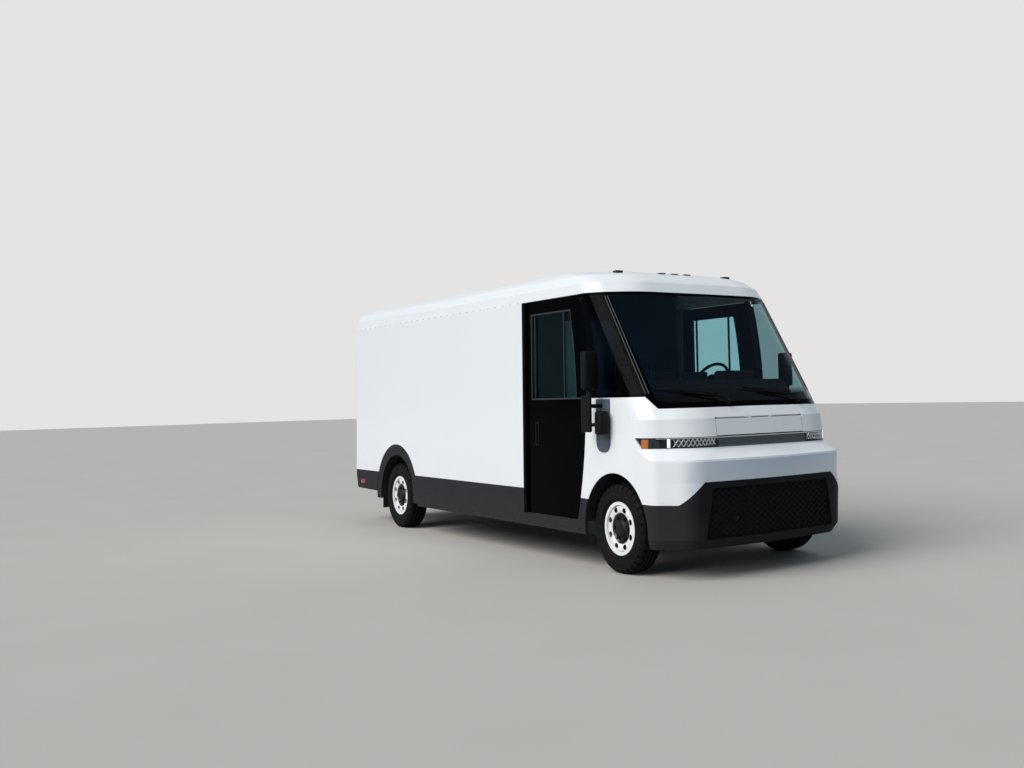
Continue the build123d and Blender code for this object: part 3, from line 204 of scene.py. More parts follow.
LAMPS = (
    ("side_lamp", (-7, 0.3, 6.4), 3.1, 50),
    ("back_lamp", (6, 7, 6), 0.3, 70),
)
for name, source, strength, softness in LAMPS:
    bpy.ops.object.light_add(type="SUN", location=source)
    lamp = bpy.context.object
    lamp.name = name
    lamp.data.energy = strength
    lamp.data.angle = math.radians(softness)
    lamp.data.color = (1.0, 0.975, 0.945)
    lamp.rotation_mode = "QUATERNION"
    lamp.rotation_quaternion = (-Vector(source)).to_track_quat("-Z", "Y")

# ---- Painted body ----
# Pressed and moulded panels in white gloss enamel over primer, from the roof to the slats of
# the load door. Below the glass, the nose's faces that do not look upward are tinted a darker
# blue-grey as painted shade, and the lips inside the wheel arches are black.
ARCH_RADIUS = 0.470
ARCH_SKIN = 1.034
LIP_EDGE = 0.004


def coat_nodes(finish, *names):
    """Gives CAD nodes a finish."""
    for name in names:
        node = nodes[name]
        node.data.materials.clear()
        node.data.materials.append(finish.material)


white_paint = Finish("white_enamel", Roughness=0.3, Coat_Weight=0.5, Coat_Roughness=0.08)
wash = white_paint.noise(0.55, 4, (1, 1, 0.5))
grime = 1 - white_paint.step(white_paint.along(2), 0.45, 1.1)
tone = white_paint.tint((0.80, 0.825, 0.86, 1), (0.845, 0.86, 0.885, 1), wash)
# Painted shade: the nose's faces below the glass, except those that look upward, are tinted a
# darker blue-grey.
painted_nose_shade = 1 - white_paint.step(white_paint.along(1), FRONT_AXLE_Y - 0.93, FRONT_AXLE_Y - 0.72)
upward = white_paint.node("SeparateXYZ", None, {0: white_paint.node("TexCoord", output="Normal")},
                          output=2)
painted_nose_shade = painted_nose_shade * (1 - white_paint.step(upward, 0.15, 0.5))
tone = white_paint.tint(tone, (0.50, 0.62, 0.74, 1), painted_nose_shade)
tone = white_paint.tint(tone, (0.62, 0.61, 0.59, 1), grime * white_paint.noise(6, 5) * 0.22)
ahead = white_paint.along(1) - FRONT_AXLE_Y
rise = white_paint.along(2) - (front_high.z + front_low.z) / 2
beside = abs(white_paint.along(0))
arch_lip = (ahead * ahead + rise * rise) ** 0.5 < ARCH_RADIUS + LIP_EDGE
arch_lip = arch_lip * (beside < ARCH_SKIN)
white_paint.feed("Base Color", white_paint.tint(tone, (0.004, 0.004, 0.004, 1), arch_lip))
white_paint.feed("Roughness", white_paint.noise(0.8, 1) * 0.08 + 0.26 + grime * 0.12)
white_paint.relief(white_paint.noise(420, 1), 0.00001, 0.004)
coat_nodes(white_paint, "roof", "right_side_panel", "left_side_panel", "fenders",
           "bumper_cover", "hood_lid", "charge_lid", "roll_up_door")

# ---- Dark grained plastic ----
# Injection-moulded cladding, fascia, arch trims and portal posts in charcoal polypropylene
# with a fine leather grain; the low edges are scuffed paler and dusty.
cladding_finish = Finish("charcoal_plastic", Specular_IOR_Level=0.2)
height = cladding_finish.along(2)
dust = (1 - cladding_finish.step(height, 0.25, 0.62)) * cladding_finish.noise(9, 5)
shade = cladding_finish.tint((0.012, 0.013, 0.016, 1), (0.019, 0.020, 0.024, 1),
                             cladding_finish.noise(4, 4))
across = abs(cladding_finish.along(0))
middle = 1 - cladding_finish.step(across, 0.74, 0.88)
nose = 1 - cladding_finish.step(cladding_finish.along(1), FRONT_AXLE_Y - 0.6, FRONT_AXLE_Y - 0.5)
shade = cladding_finish.tint(shade, (0.0015, 0.0015, 0.002, 1), middle * nose * 0.9)
shade = cladding_finish.tint(shade, (0.05, 0.048, 0.045, 1), dust * 0.3)
cladding_finish.feed("Base Color", shade)
cladding_finish.feed("Roughness", cladding_finish.noise(30, 3) * 0.2 + 0.5 + dust * 0.15)
cladding_finish.relief(cladding_finish.noise(900, 2), 0.0009, 0.004)
coat_nodes(cladding_finish, "side_cladding", "wheel_housings", "lower_fascia", "rear_portal")

# ---- Black trim ----
# Satin black plastic, moulded in one piece each: grille panel, step bumper, door jambs,
# mirror housings and the steering wheel's rim.


def mottled(name, tones, spots, gloss, grain=None, **fixed):
    """A finish in two tones with spots between them. Gloss is a noise, its share in the
    roughness and the least roughness; grain is a noise, its depth and the eased edge."""
    finish = Finish(name, **fixed)
    first, second = tones
    finish.feed("Base Color", finish.tint((*first, 1), (*second, 1), finish.noise(*spots)))
    noise, share, least = gloss
    finish.feed("Roughness", finish.noise(*noise) * share + least)
    if grain:
        noise, *depth_and_edge = grain
        finish.relief(finish.noise(*noise), *depth_and_edge)
    return finish


black_trim = mottled(
    "satin_black_plastic", ((0.0012, 0.0012, 0.0015), (0.005, 0.005, 0.006)), (12, 4),
    ((40, 3), 0.25, 0.42), ((700, 2), 0.0006, 0.003), Specular_IOR_Level=0.15)
coat_nodes(black_trim, "grille", "rear_bumper", "door_jambs", "door_mirrors", "steering_wheel")

# ---- Gloss black ----
# Piano-black panels round the glass and on the doors, with a clear coat over black paint,
# bonded to the cab's frame and polished.
gloss_black = Finish("gloss_black", Specular_IOR_Level=0.015)
smear = gloss_black.noise(2.2, 5, (1, 1, 0.4))
gloss_black.feed("Base Color", gloss_black.tint(
    (0.0002, 0.0002, 0.0003, 1), (0.0010, 0.0010, 0.0012, 1), smear))
gloss_black.feed("Roughness", smear * 0.14 + 0.06)
gloss_black.relief(gloss_black.noise(2.5, 2), 0.0008, 0.003)
coat_nodes(gloss_black, "cab_frame", "right_side_door", "left_side_door")

# ---- Glass ----
# Tinted safety glass: a laminated windscreen with a dark band along its foot, bonded quarter
# lights and sliding door windows.
screen_glass = Finish("tinted_glass", Specular_IOR_Level=0.2)
film = screen_glass.noise(1.6, 4, (1, 1, 0.5))
navy = screen_glass.tint((0.001, 0.004, 0.010, 1), (0.002, 0.008, 0.020, 1), film)
lower_edge = 1 - screen_glass.step(screen_glass.along(2), 1.47, 1.56)
screen_glass.feed("Base Color", screen_glass.tint(navy, (0.001, 0.001, 0.002, 1), lower_edge))
screen_glass.feed("Roughness", film * 0.04 + 0.01)
screen_glass.feed("Alpha", film * 0.08 + lower_edge * 0.6 + 0.24)
coat_nodes(screen_glass, "windscreen")
door_glass = Finish("door_glass", Specular_IOR_Level=0.1, Transmission_Weight=1.0, IOR=1.1)
haze_and_glare = door_glass.noise(2.0, 4)
door_glass.feed("Base Color", door_glass.tint((0.27, 0.63, 0.70, 1), (0.33, 0.70, 0.77, 1), haze_and_glare))
door_glass.feed("Roughness", haze_and_glare * 0.03)
coat_nodes(door_glass, "right_door_glass", "left_door_glass")
# Painted shade and painted reflection: the near quarter light is tinted dark navy with lighter
# upright streaks, and the far one light teal.
quarter_finish = Finish("quarter_glass", Specular_IOR_Level=0.1, Transmission_Weight=1.0, IOR=1.1)
haze_and_glare = quarter_finish.noise(1.3, 4, (1, 1, 0.3))
near_shade_and_glare = quarter_finish.tint((0.020, 0.060, 0.110, 1), (0.045, 0.120, 0.190, 1), haze_and_glare)
quarter_finish.feed("Base Color", quarter_finish.tint(
    near_shade_and_glare, (0.20, 0.37, 0.40, 1), quarter_finish.along(0) > 0))
quarter_finish.feed("Roughness", haze_and_glare * 0.04)
coat_nodes(quarter_finish, "quarter_glass")

# ---- Light bar and lamps ----
# A moulded bar across the nose: satin grey between the lamps and black behind their
# clear lenses; amber strips wrap the corners and amber markers stand on the roof.
LAMP_GAP = 0.006
hood_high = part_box("hood_lid")[1]
LAMP_START = hood_high.x + LAMP_GAP
bar_finish = Finish("bar_grey", Specular_IOR_Level=0.5)
behind_lens = abs(bar_finish.along(0)) > LAMP_START
bar_grey = bar_finish.tint((0.075, 0.082, 0.092, 1), (0.105, 0.115, 0.125, 1),
                           bar_finish.noise(3, 3, (0.3, 1, 4)))
bar_grey = bar_finish.tint((0.125, 0.13, 0.136, 1), bar_grey,
                           bar_finish.step(bar_finish.along(2), 1.066, 1.092))
bar_finish.feed("Base Color", bar_finish.tint(bar_grey, (0.012, 0.013, 0.015, 1), behind_lens))
bar_finish.feed("Roughness", bar_finish.noise(60, 2, (0.1, 1, 1)) * 0.12 + 0.24)
bar_finish.feed("Metallic", (1 - behind_lens) * 0.6)
bar_finish.relief(bar_finish.noise(300, 1), 0.0002, 0.002)
coat_nodes(bar_finish, "light_bar")
clear_lens = mottled("clear_lens", ((0.02, 0.035, 0.045), (0.05, 0.07, 0.08)), (8, 3),
                     ((14, 3), 0.05, 0.02), Specular_IOR_Level=0.6)
clear_lens.feed("Alpha", clear_lens.noise(5, 3) * 0.06 + 0.1)
coat_nodes(clear_lens, "headlamps")
amber_finish = Finish("amber_lens", Specular_IOR_Level=0.5, Coat_Weight=0.3)
on_roof = amber_finish.along(2) > 2
ribs = amber_finish.node("TexWave", {"wave_type": "BANDS", "bands_direction": "Y"},
                         {"Vector": amber_finish.place, "Scale": 60, "Distortion": 0})
amber = amber_finish.tint((0.36, 0.085, 0.006, 1), (0.66, 0.20, 0.015, 1), ribs)
ahead = 1 - amber_finish.step(amber_finish.along(1), FRONT_AXLE_Y - 0.458,
                              FRONT_AXLE_Y - 0.448)
above = amber_finish.step(amber_finish.along(2), 1.134, 1.139)
amber = amber_finish.tint(amber, (0.010, 0.018, 0.022, 1), ahead.sum("MAXIMUM", ahead, above))
amber_finish.feed("Base Color", amber_finish.tint(amber, (0.006, 0.005, 0.005, 1), on_roof))
amber_finish.feed("Roughness", amber_finish.noise(20, 2) * 0.1 + 0.12)
amber_finish.relief(ribs, 0.0012, 0.002)
coat_nodes(amber_finish, "amber_lamps")
red_finish = Finish("red_lens", Specular_IOR_Level=0.6, Coat_Weight=0.4, Emission_Strength=0.12)
cells = red_finish.node("TexVoronoi", {"feature": "F1"}, {"Vector": red_finish.place, "Scale": 55})
red_finish.feed("Base Color", red_finish.tint(
    (0.26, 0.004, 0.004, 1), (0.45, 0.012, 0.010, 1), cells))
red_finish.feed("Emission Color", red_finish.tint((0.5, 0.0, 0.0, 1), (0.7, 0.02, 0.01, 1), cells))
red_finish.feed("Roughness", cells * 0.1 + 0.1)
red_finish.relief(cells, 0.0015, 0.003)
coat_nodes(red_finish, "tail_lamps")

# ---- Load space, floors and bulkhead ----
# Ribbed aluminium lining and bulkhead door with a satin lacquer, a dark laminate bulkhead
# bolted across behind the seat, and studded floor plates screwed down.
lining_finish = mottled(
    "satin_aluminium_lining", ((0.42, 0.43, 0.44), (0.55, 0.56, 0.57)), (2, 4),
    ((90, 3, (1, 0.05, 1)), 0.25, 0.35), Metallic=0.55)
ribbing = lining_finish.node("TexWave", {"wave_type": "BANDS", "bands_direction": "Y"},
                             {"Vector": lining_finish.place, "Scale": 3.2, "Distortion": 0})
lining_finish.relief(ribbing, 0.004, 0.002)
coat_nodes(lining_finish, "lining", "bulkhead_door")
bulkhead_finish = mottled(
    "bulkhead_laminate", ((0.010, 0.013, 0.018), (0.022, 0.027, 0.036)), (1.5, 4, (1, 1, 0.1)),
    ((40, 3), 0.2, 0.45), ((500, 2), 0.0006, 0.002), Specular_IOR_Level=0.2)
coat_nodes(bulkhead_finish, "bulkhead")
floor_plate = mottled("floor_plate", ((0.06, 0.062, 0.066), (0.10, 0.102, 0.106)), (5, 5),
                      ((18, 4), 0.3, 0.5), Metallic=0.3)
studs = floor_plate.node("TexVoronoi", {"feature": "F1"},
                         {"Vector": floor_plate.place, "Scale": 28})
floor_plate.relief(1 - floor_plate.step(studs, 0.1, 0.35), 0.0018, 0.003)
coat_nodes(floor_plate, "load_floor", "cab_floor")

# ---- Cab mouldings ----
# Dashboard and seat pedestal in dark grey moulded plastic with a soft grain, bolted to the
# toe board and the cab floor.
cab_plastic = mottled(
    "cab_plastic", ((0.006, 0.0065, 0.008), (0.012, 0.0125, 0.015)), (5, 4),
    ((50, 3), 0.2, 0.55), ((600, 2), 0.001, 0.006), Specular_IOR_Level=0.3)
coat_nodes(cab_plastic, "dashboard", "seat_frame")

# ---- Running gear ----
# Chassis rails, battery case, arms and knuckles in satin black over steel, with cast
# alloy drive units; road dirt dulls the lower faces.
chassis_black = Finish("chassis_black", Specular_IOR_Level=0.35)
mud = chassis_black.noise(7, 6)
chassis_black.feed("Base Color", chassis_black.tint(
    (0.012, 0.012, 0.012, 1), (0.055, 0.050, 0.044, 1), mud * 0.6))
chassis_black.feed("Roughness", mud * 0.4 + 0.35)
chassis_black.relief(mud, 0.002, 0.004)
coat_nodes(chassis_black, "chassis", "battery_pack", "suspension", "right_knuckle",
           "left_knuckle")
cast_alloy = mottled(
    "cast_alloy", ((0.26, 0.265, 0.27), (0.38, 0.385, 0.39)), (6, 4),
    ((30, 4), 0.3, 0.4), ((250, 3), 0.0015, 0.006), Metallic=0.8)
coat_nodes(cast_alloy, "drive_units")
flap_rubber = Finish("flap_rubber", Specular_IOR_Level=0.2)
flap_rubber.feed("Base Color", flap_rubber.tint(
    (0.010, 0.010, 0.010, 1), (0.035, 0.033, 0.030, 1), flap_rubber.noise(11, 5) * 0.6))
flap_rubber.feed("Roughness", flap_rubber.noise(25, 3) * 0.2 + 0.7)
flap_rubber.relief(flap_rubber.noise(60, 3), 0.0012, 0.002)
coat_nodes(flap_rubber, "mud_flaps")

# ---- Steel wheels ----
# Pressed steel rims in white enamel with a disc welded in. Behind the wheel's face, where the
# hand holes show them, they are painted near black as painted shade. Brake dust greys the middle.
FACE_X = 0.0745
FACE_RADIUS = 0.190
SIDES = (("right", -1), ("left", 1))
WHEELS = [(end, name, side) for end in ("front", "rear") for name, side in SIDES]
rear_low, rear_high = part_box("rear_left_tyre")
REAR_AXLE_Y = (rear_low.y + rear_high.y) / 2
wheel_enamel = Finish("wheel_enamel", Coat_Weight=0.3)
brake_dust = wheel_enamel.noise(14, 5)
enamel = wheel_enamel.tint((0.84, 0.85, 0.86, 1), (0.50, 0.49, 0.47, 1), brake_dust * 0.25)
offset = abs(wheel_enamel.along(0)) - (front_high.x + front_low.x) / 2
ahead = abs(wheel_enamel.along(1) - FRONT_AXLE_Y)
astern = abs(wheel_enamel.along(1) - REAR_AXLE_Y)
rise = wheel_enamel.along(2) - (front_high.z + front_low.z) / 2
reach = ahead.sum("MINIMUM", ahead, astern)
reach = (reach * reach + rise * rise) ** 0.5
# Painted shade: everything inboard of the wheel's face within its radius is painted near black.
shade_behind_face = (offset < FACE_X) * (reach < FACE_RADIUS)
wheel_enamel.feed("Base Color", wheel_enamel.tint(enamel, (0.006, 0.006, 0.006, 1), shade_behind_face))
wheel_enamel.feed("Roughness", brake_dust * 0.25 + 0.25)
wheel_enamel.relief(wheel_enamel.noise(200, 2), 0.0004, 0.003)
coat_nodes(wheel_enamel, *(f"{end}_{name}_wheel" for end, name, side in WHEELS))

# ---- Tyres ----
# Radial van tyres: a rounded carcass, three grooves round the tread, cross-cut shoulder
# blocks and plain ribs on the sidewalls, moulded in black rubber.
rubber = Finish("tyre_rubber", Specular_IOR_Level=0.12)
scuff = rubber.noise(18, 5)
rubber.feed("Base Color", rubber.tint(
    (0.002, 0.002, 0.0023, 1), (0.009, 0.0088, 0.0085, 1), scuff))
rubber.feed("Roughness", scuff * 0.25 + 0.6)
rubber.relief(rubber.noise(150, 3), 0.0008)
TYRE_STEPS = 96
TYRE_HALF = (
    (0.0, 0.378), (0.014, 0.378), (0.015, 0.369), (0.023, 0.369), (0.024, 0.378),
    (0.052, 0.3775), (0.053, 0.369), (0.061, 0.369), (0.062, 0.377), (0.078, 0.3755),
    (0.090, 0.371), (0.099, 0.360), (0.106, 0.342), (0.1075, 0.341), (0.1095, 0.322),
    (0.1075, 0.320), (0.1105, 0.300), (0.1120, 0.282), (0.1100, 0.264), (0.1115, 0.262),
    (0.1085, 0.250), (0.100, 0.238), (0.090, 0.229), (0.080, 0.2275), (0.074, 0.2045),
)
BLOCK_CUT = 0.008
BLOCK_FOOT = 0.350
GROOVE_EDGE = 0.0625
BLOCK_PITCH = 3


def alone(piece):
    """Selects one piece only and makes it the active one."""
    bpy.ops.object.select_all(action="DESELECT")
    piece.select_set(True)
    bpy.context.view_layer.objects.active = piece


class Edit:
    """Holds one piece in edit mode, with the whole of it selected at first."""

    def __init__(self, piece):
        alone(piece)

    def __enter__(self):
        bpy.ops.object.mode_set(mode="EDIT")
        bpy.ops.mesh.select_all(action="SELECT")

    def __exit__(self, *_):
        bpy.ops.object.mode_set(mode="OBJECT")


def draw_out(move):
    """Extrudes what is selected by a move."""
    bpy.ops.mesh.extrude_region_move(TRANSFORM_OT_translate={"value": move})


def draw_line(name, points):
    """A chain of edges through points, drawn by extruding one corner along it."""
    bpy.ops.object.select_all(action="DESELECT")
    bpy.ops.mesh.primitive_plane_add(size=0.01, location=points[0])
    line = bpy.context.object
    line.name = name
    bpy.ops.object.transform_apply()
    with Edit(line):
        bpy.ops.mesh.select_mode(type="VERT")
        bpy.ops.mesh.merge(type="CENTER")
        for last, point in zip(points, points[1:]):
            draw_out(Vector(point) - Vector(last))
    return line


def turn(name, profile, centre, steps):
    """Spins a profile of (x, radius) pairs round an axle along X."""
    centre = Vector(centre)
    piece = draw_line(name, [centre + Vector((x, 0, r)) for x, r in profile])
    with Edit(piece):
        bpy.ops.mesh.spin(steps=steps, angle=2 * math.pi, center=centre, axis=(1, 0, 0))
        bpy.ops.mesh.select_all(action="SELECT")
        bpy.ops.mesh.remove_doubles(threshold=0.00005)
        bpy.ops.mesh.normals_make_consistent(inside=False)
    return piece


def pick(piece, test, kind="faces"):
    """In edit mode, selects the faces, edges or corners that pass a test."""
    bpy.ops.mesh.select_mode(type={"faces": "FACE", "edges": "EDGE", "verts": "VERT"}[kind])
    bpy.ops.mesh.select_all(action="DESELECT")
    mesh = bmesh.from_edit_mesh(piece.data)
    for item in getattr(mesh, kind):
        if test(item):
            item.select_set(True)
    bmesh.update_edit_mesh(piece.data)


def smooth(piece, angle=0.6):
    alone(piece)
    bpy.ops.object.shade_smooth_by_angle(angle=angle)


def copy_to(piece, name, matrix):
    """A copy with its own mesh, moved as a whole."""
    twin = piece.copy()
    twin.data = piece.data.copy()
    twin.name = name
    twin.data.transform(matrix)
    if matrix.determinant() < 0:
        twin.data.flip_normals()
    bpy.context.scene.collection.objects.link(twin)
    return twin


def fit(piece, finish, body):
    """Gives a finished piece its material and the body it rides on."""
    piece.data.materials.clear()
    piece.data.materials.append(finish.material)
    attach(piece, body)
    return piece


def to_wheels(pattern, kind, finish, replaced=None):
    """Copies a pattern to the four wheels; all but a tyre is turned to face outwards."""
    for end, name, side in WHEELS:
        low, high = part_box(f"{end}_{name}_tyre")
        spot = Matrix.Translation((low + high) / 2)
        if not replaced:
            spot = spot @ Matrix.Scale(side, 4, (1, 0, 0))
        piece = copy_to(pattern, f"{end}_{name}_{kind}", spot)
        fit(piece, finish, f"{end}_{name}_road_wheel")
        if replaced:
            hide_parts(f"{end}_{name}_{replaced}")
    bpy.data.objects.remove(pattern)


def shoulder_cut(face):
    middle = face.calc_center_median()
    column = int((math.atan2(middle.z, middle.y) + math.pi) / (2 * math.pi) * TYRE_STEPS)
    reach = math.hypot(middle.y, middle.z)
    return column % BLOCK_PITCH == 0 and reach > BLOCK_FOOT and abs(middle.x) > GROOVE_EDGE


tyre_profile = [(-x, r) for x, r in reversed(TYRE_HALF[1:])] + list(TYRE_HALF)
first_tyre = turn("first_tyre", tyre_profile + tyre_profile[:1], (0, 0, 0), TYRE_STEPS)
with Edit(first_tyre):
    pick(first_tyre, shoulder_cut)
    bpy.ops.mesh.extrude_region_shrink_fatten(TRANSFORM_OT_shrink_fatten={"value": -BLOCK_CUT})
smooth(first_tyre, 0.5)
to_wheels(first_tyre, "road_tyre", rubber, "tyre")

# ---- Wheel faces ----
# Each steel wheel's outer face is pressed from plate into a raised ring with eight oval hand
# holes punched through it, welded into the rim and enamelled white with it.
WHEEL_FACE = ((0.052, 0.110), (0.062, 0.120), (0.078, 0.138), (0.082, 0.150), (0.083, 0.178),
              (0.078, 0.187), (0.066, 0.1915))
FACE_WALL = 0.004
HOLES = 8
HOLE_RING = 0.163
HOLE_X = 0.075
HOLE_SIZE = (0.023, 0.027)
CUT_DEPTH = 0.03


def modify(piece, kind, **settings):
    """Adds a modifier with its settings."""
    made = piece.modifiers.new(kind.lower(), kind)
    for name, value in settings.items():
        setattr(made, name, value)
    return made


def harden(piece):
    """Applies every modifier of a piece."""
    alone(piece)
    for modifier in list(piece.modifiers):
        bpy.ops.object.modifier_apply(modifier=modifier.name)
    return piece


def join(name, parts):
    """Joins parts into the first one, with their places in its mesh."""
    bpy.ops.object.select_all(action="DESELECT")
    for part in parts:
        part.select_set(True)
    bpy.context.view_layer.objects.active = parts[0]
    if len(parts) > 1:
        bpy.ops.object.join()
    bpy.ops.object.transform_apply()
    whole = bpy.context.object
    whole.name = name
    return whole


first_face = turn("first_face", WHEEL_FACE, (0, 0, 0), 64)
cutters = []
for hole in range(HOLES):
    angle = 2 * math.pi * (hole + 0.5) / HOLES
    bpy.ops.mesh.primitive_cylinder_add(
        vertices=20, radius=1, depth=2, rotation=(angle, 0, 0),
        location=(HOLE_X, HOLE_RING * math.cos(angle), HOLE_RING * math.sin(angle)))
    cutter = bpy.context.object
    cutter.data.transform(Matrix.Rotation(math.pi / 2, 4, "Y"))
    cutter.scale = (CUT_DEPTH, *HOLE_SIZE)
    cutters.append(cutter)
cutter = join("cutter", cutters)
modify(first_face, "SOLIDIFY", thickness=FACE_WALL, offset=0)
modify(first_face, "BOOLEAN", operation="DIFFERENCE", object=cutter)
harden(first_face)
bpy.data.objects.remove(cutter)
smooth(first_face, 0.5)
to_wheels(first_face, "wheel_face", wheel_enamel)

# ---- Hub covers ----
# Black moulded plastic covers pressed on over the hubs, each turned to a domed cap with six
# plastic nut caps set round it.
cover_black = mottled(
    "hub_cover_black", ((0.002, 0.002, 0.0025), (0.016, 0.0155, 0.015)), (30, 4),
    ((60, 3), 0.25, 0.35), ((400, 2), 0.0004), Specular_IOR_Level=0.2)
COVER = ((0.049, 0.117), (0.058, 0.116), (0.066, 0.110), (0.067, 0.080), (0.073, 0.074),
         (0.083, 0.066), (0.090, 0.052), (0.093, 0.030), (0.094, 0.0))
NUT_CIRCLE = 0.095
NUT_CAPS = 6
NUT_CHAMFER = 0.003
first_cover = turn("first_cover", COVER, (0, 0, 0), 48)
caps = [first_cover]
for nut in range(NUT_CAPS):
    angle = 2 * math.pi * nut / NUT_CAPS
    bpy.ops.mesh.primitive_cylinder_add(
        vertices=6, radius=0.0125, depth=0.024,
        location=(0.076, NUT_CIRCLE * math.cos(angle), NUT_CIRCLE * math.sin(angle)),
        rotation=(0, math.pi / 2, 0))
    cap = bpy.context.object
    with Edit(cap):
        pick(cap, lambda face: abs(face.normal.z) > 0.9 and face.calc_center_median().z > 0)
        bpy.ops.mesh.inset(thickness=NUT_CHAMFER)
        bpy.ops.transform.translate(value=(NUT_CHAMFER, 0, 0))
    caps.append(cap)
first_cover = join("first_cover", caps)
smooth(first_cover, 0.5)
to_wheels(first_cover, "hub_cover", cover_black)

# ---- Grille mesh ----
# A moulded black diamond lattice that fills the fascia's lower opening: it is laid out flat,
# trimmed to the opening and pressed onto the panel's curve.
MESH_CELL = 0.050
MESH_BAR = 0.009
MESH_PROUD = 0.005
MESH_CELLS = 34
MESH_SQUASH = 0.72
MESH_MARGIN = 0.012
MESH_TAPER = 0.070
MESH_AHEAD = 0.3
grille_low, grille_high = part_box("grille")
lattice_middle = (grille_low.z + grille_high.z) / 2
bpy.ops.object.select_all(action="DESELECT")
bpy.ops.mesh.primitive_grid_add(
    x_subdivisions=MESH_CELLS, y_subdivisions=MESH_CELLS, size=MESH_CELL * MESH_CELLS,
    location=(0, grille_low.y - MESH_AHEAD, lattice_middle),
    rotation=(math.pi / 2, math.pi / 4, 0))
lattice = bpy.context.object
bpy.ops.object.transform_apply()
lattice.name = "grille_lattice"
mesh_edge = grille_high.x - MESH_MARGIN
mesh_slope = MESH_TAPER / (grille_high.z - grille_low.z)
MESH_EDGES = (
    ((0, 0, grille_high.z - MESH_MARGIN), (0, 0, 1)),
    ((0, 0, grille_low.z + MESH_MARGIN), (0, 0, -1)),
    ((mesh_edge, 0, grille_low.z), (1, 0, mesh_slope)),
    ((-mesh_edge, 0, grille_low.z), (-1, 0, mesh_slope)),
)
with Edit(lattice):
    bpy.ops.transform.resize(value=(1, 1, MESH_SQUASH), center_override=(0, 0, lattice_middle))
    for spot, outward in MESH_EDGES:
        bpy.ops.mesh.select_all(action="SELECT")
        bpy.ops.mesh.bisect(plane_co=spot, plane_no=outward, clear_outer=True)
modify(lattice, "SHRINKWRAP", wrap_method="PROJECT", use_project_y=True,
       use_negative_direction=False, use_positive_direction=True, target=nodes["grille"],
       offset=MESH_PROUD)
harden(lattice)
with Edit(lattice):
    pick(lattice, lambda corner: corner.co.y < grille_low.y - MESH_AHEAD + 0.05, "verts")
    bpy.ops.mesh.delete(type="VERT")
modify(lattice, "WIREFRAME", thickness=MESH_BAR, use_even_offset=False)
harden(lattice)
fit(lattice, black_trim, "van")

# ---- Light bar brightwork and lamp modules ----
# A thin bright bead runs along the bar's top edge. Behind each clear lens two folded bands
# of vapour-coated plastic cross each other, and an upright light guide ends the lamp.
chrome = mottled("bright_metal", ((0.62, 0.64, 0.66), (0.80, 0.82, 0.84)), (12, 3),
                 ((35, 3), 0.12, 0.1), Metallic=0.95)
guide_finish = mottled("light_guide", ((0.80, 0.84, 0.88), (0.90, 0.93, 0.96)), (40, 2),
                       ((50, 2), 0.1, 0.2), Emission_Strength=0.55)
guide_finish.feed("Emission Color", guide_finish.tint(
    (0.85, 0.92, 1.0, 1), (1.0, 1.0, 1.0, 1), guide_finish.noise(40, 2)))
bar_low, bar_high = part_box("light_bar")
BEAD_HEIGHT = 0.007
BEAD_DROP = 0.004
BEAD_STEPS = 48
AHEAD = -6.0


def meet(node, start, towards):
    """The point and normal where a ray meets a CAD node, or None twice where it misses."""
    hit, point, normal, _ = nodes[node].ray_cast(Vector(start), Vector(towards))
    return (point, normal) if hit else (None, None)


def touch(node, x, z):
    """Where a ray from ahead meets a CAD node: the point, and the normal facing forward."""
    point, normal = meet(node, (x, AHEAD, z), (0, 1, 0))
    return point, normal if normal.y < 0 else -normal


def shares(count):
    """Even shares from 0 to 1."""
    return [step / count for step in range(count + 1)]


def strip(name, points, across, thickness):
    """A thin band: a line through points, drawn out sideways and given a thickness."""
    band = draw_line(name, points)
    with Edit(band):
        draw_out(across)
    modify(band, "SOLIDIFY", thickness=thickness, offset=0)
    return harden(band)


bead_points = []
bead_half = bar_high.x - 0.07
for share in shares(BEAD_STEPS):
    x = bead_half * (2 * share - 1)
    node = "light_bar" if abs(x) < LAMP_START else "headlamps"
    bead_points.append(touch(node, x, bar_high.z - BEAD_HEIGHT - BEAD_DROP)[0])
bead = strip("light_bar_bead", bead_points, (0, 0, BEAD_HEIGHT), 0.003)
fit(bead, chrome, "van")

REFLECTOR_RUN = (0.515, 0.850)
REFLECTOR_FOLDS = 10
REFLECTOR_RISE = 0.030
REFLECTOR_DEPTH = 0.006
GUIDE_X = 0.872
lamp_middle = (bar_low.z + bar_high.z) / 2
for name, side in SIDES:
    vanes = []
    for start in (1, -1):
        fold = []
        for step, share in enumerate(shares(REFLECTOR_FOLDS)):
            x = REFLECTOR_RUN[0] + (REFLECTOR_RUN[1] - REFLECTOR_RUN[0]) * share
            point, normal = touch("headlamps", side * x, lamp_middle)
            rise = start * REFLECTOR_RISE * (1 if step % 2 else -1)
            fold.append(point - normal * REFLECTOR_DEPTH + Vector((0, 0, rise)))
        vanes.append(strip("vane", fold, (side * 0.012, 0.003, 0), 0.002))
    fit(join(f"{name}_lamp_reflectors", vanes), chrome, "van")
    point = touch("headlamps", side * GUIDE_X, lamp_middle)[0]
    ends = [point + Vector((0, 0.002, z)) for z in (-0.037, 0.034)]
    guide = strip(f"{name}_light_guide", ends, (side * 0.022, 0.013, 0), 0.004)
    fit(guide, guide_finish, "van")

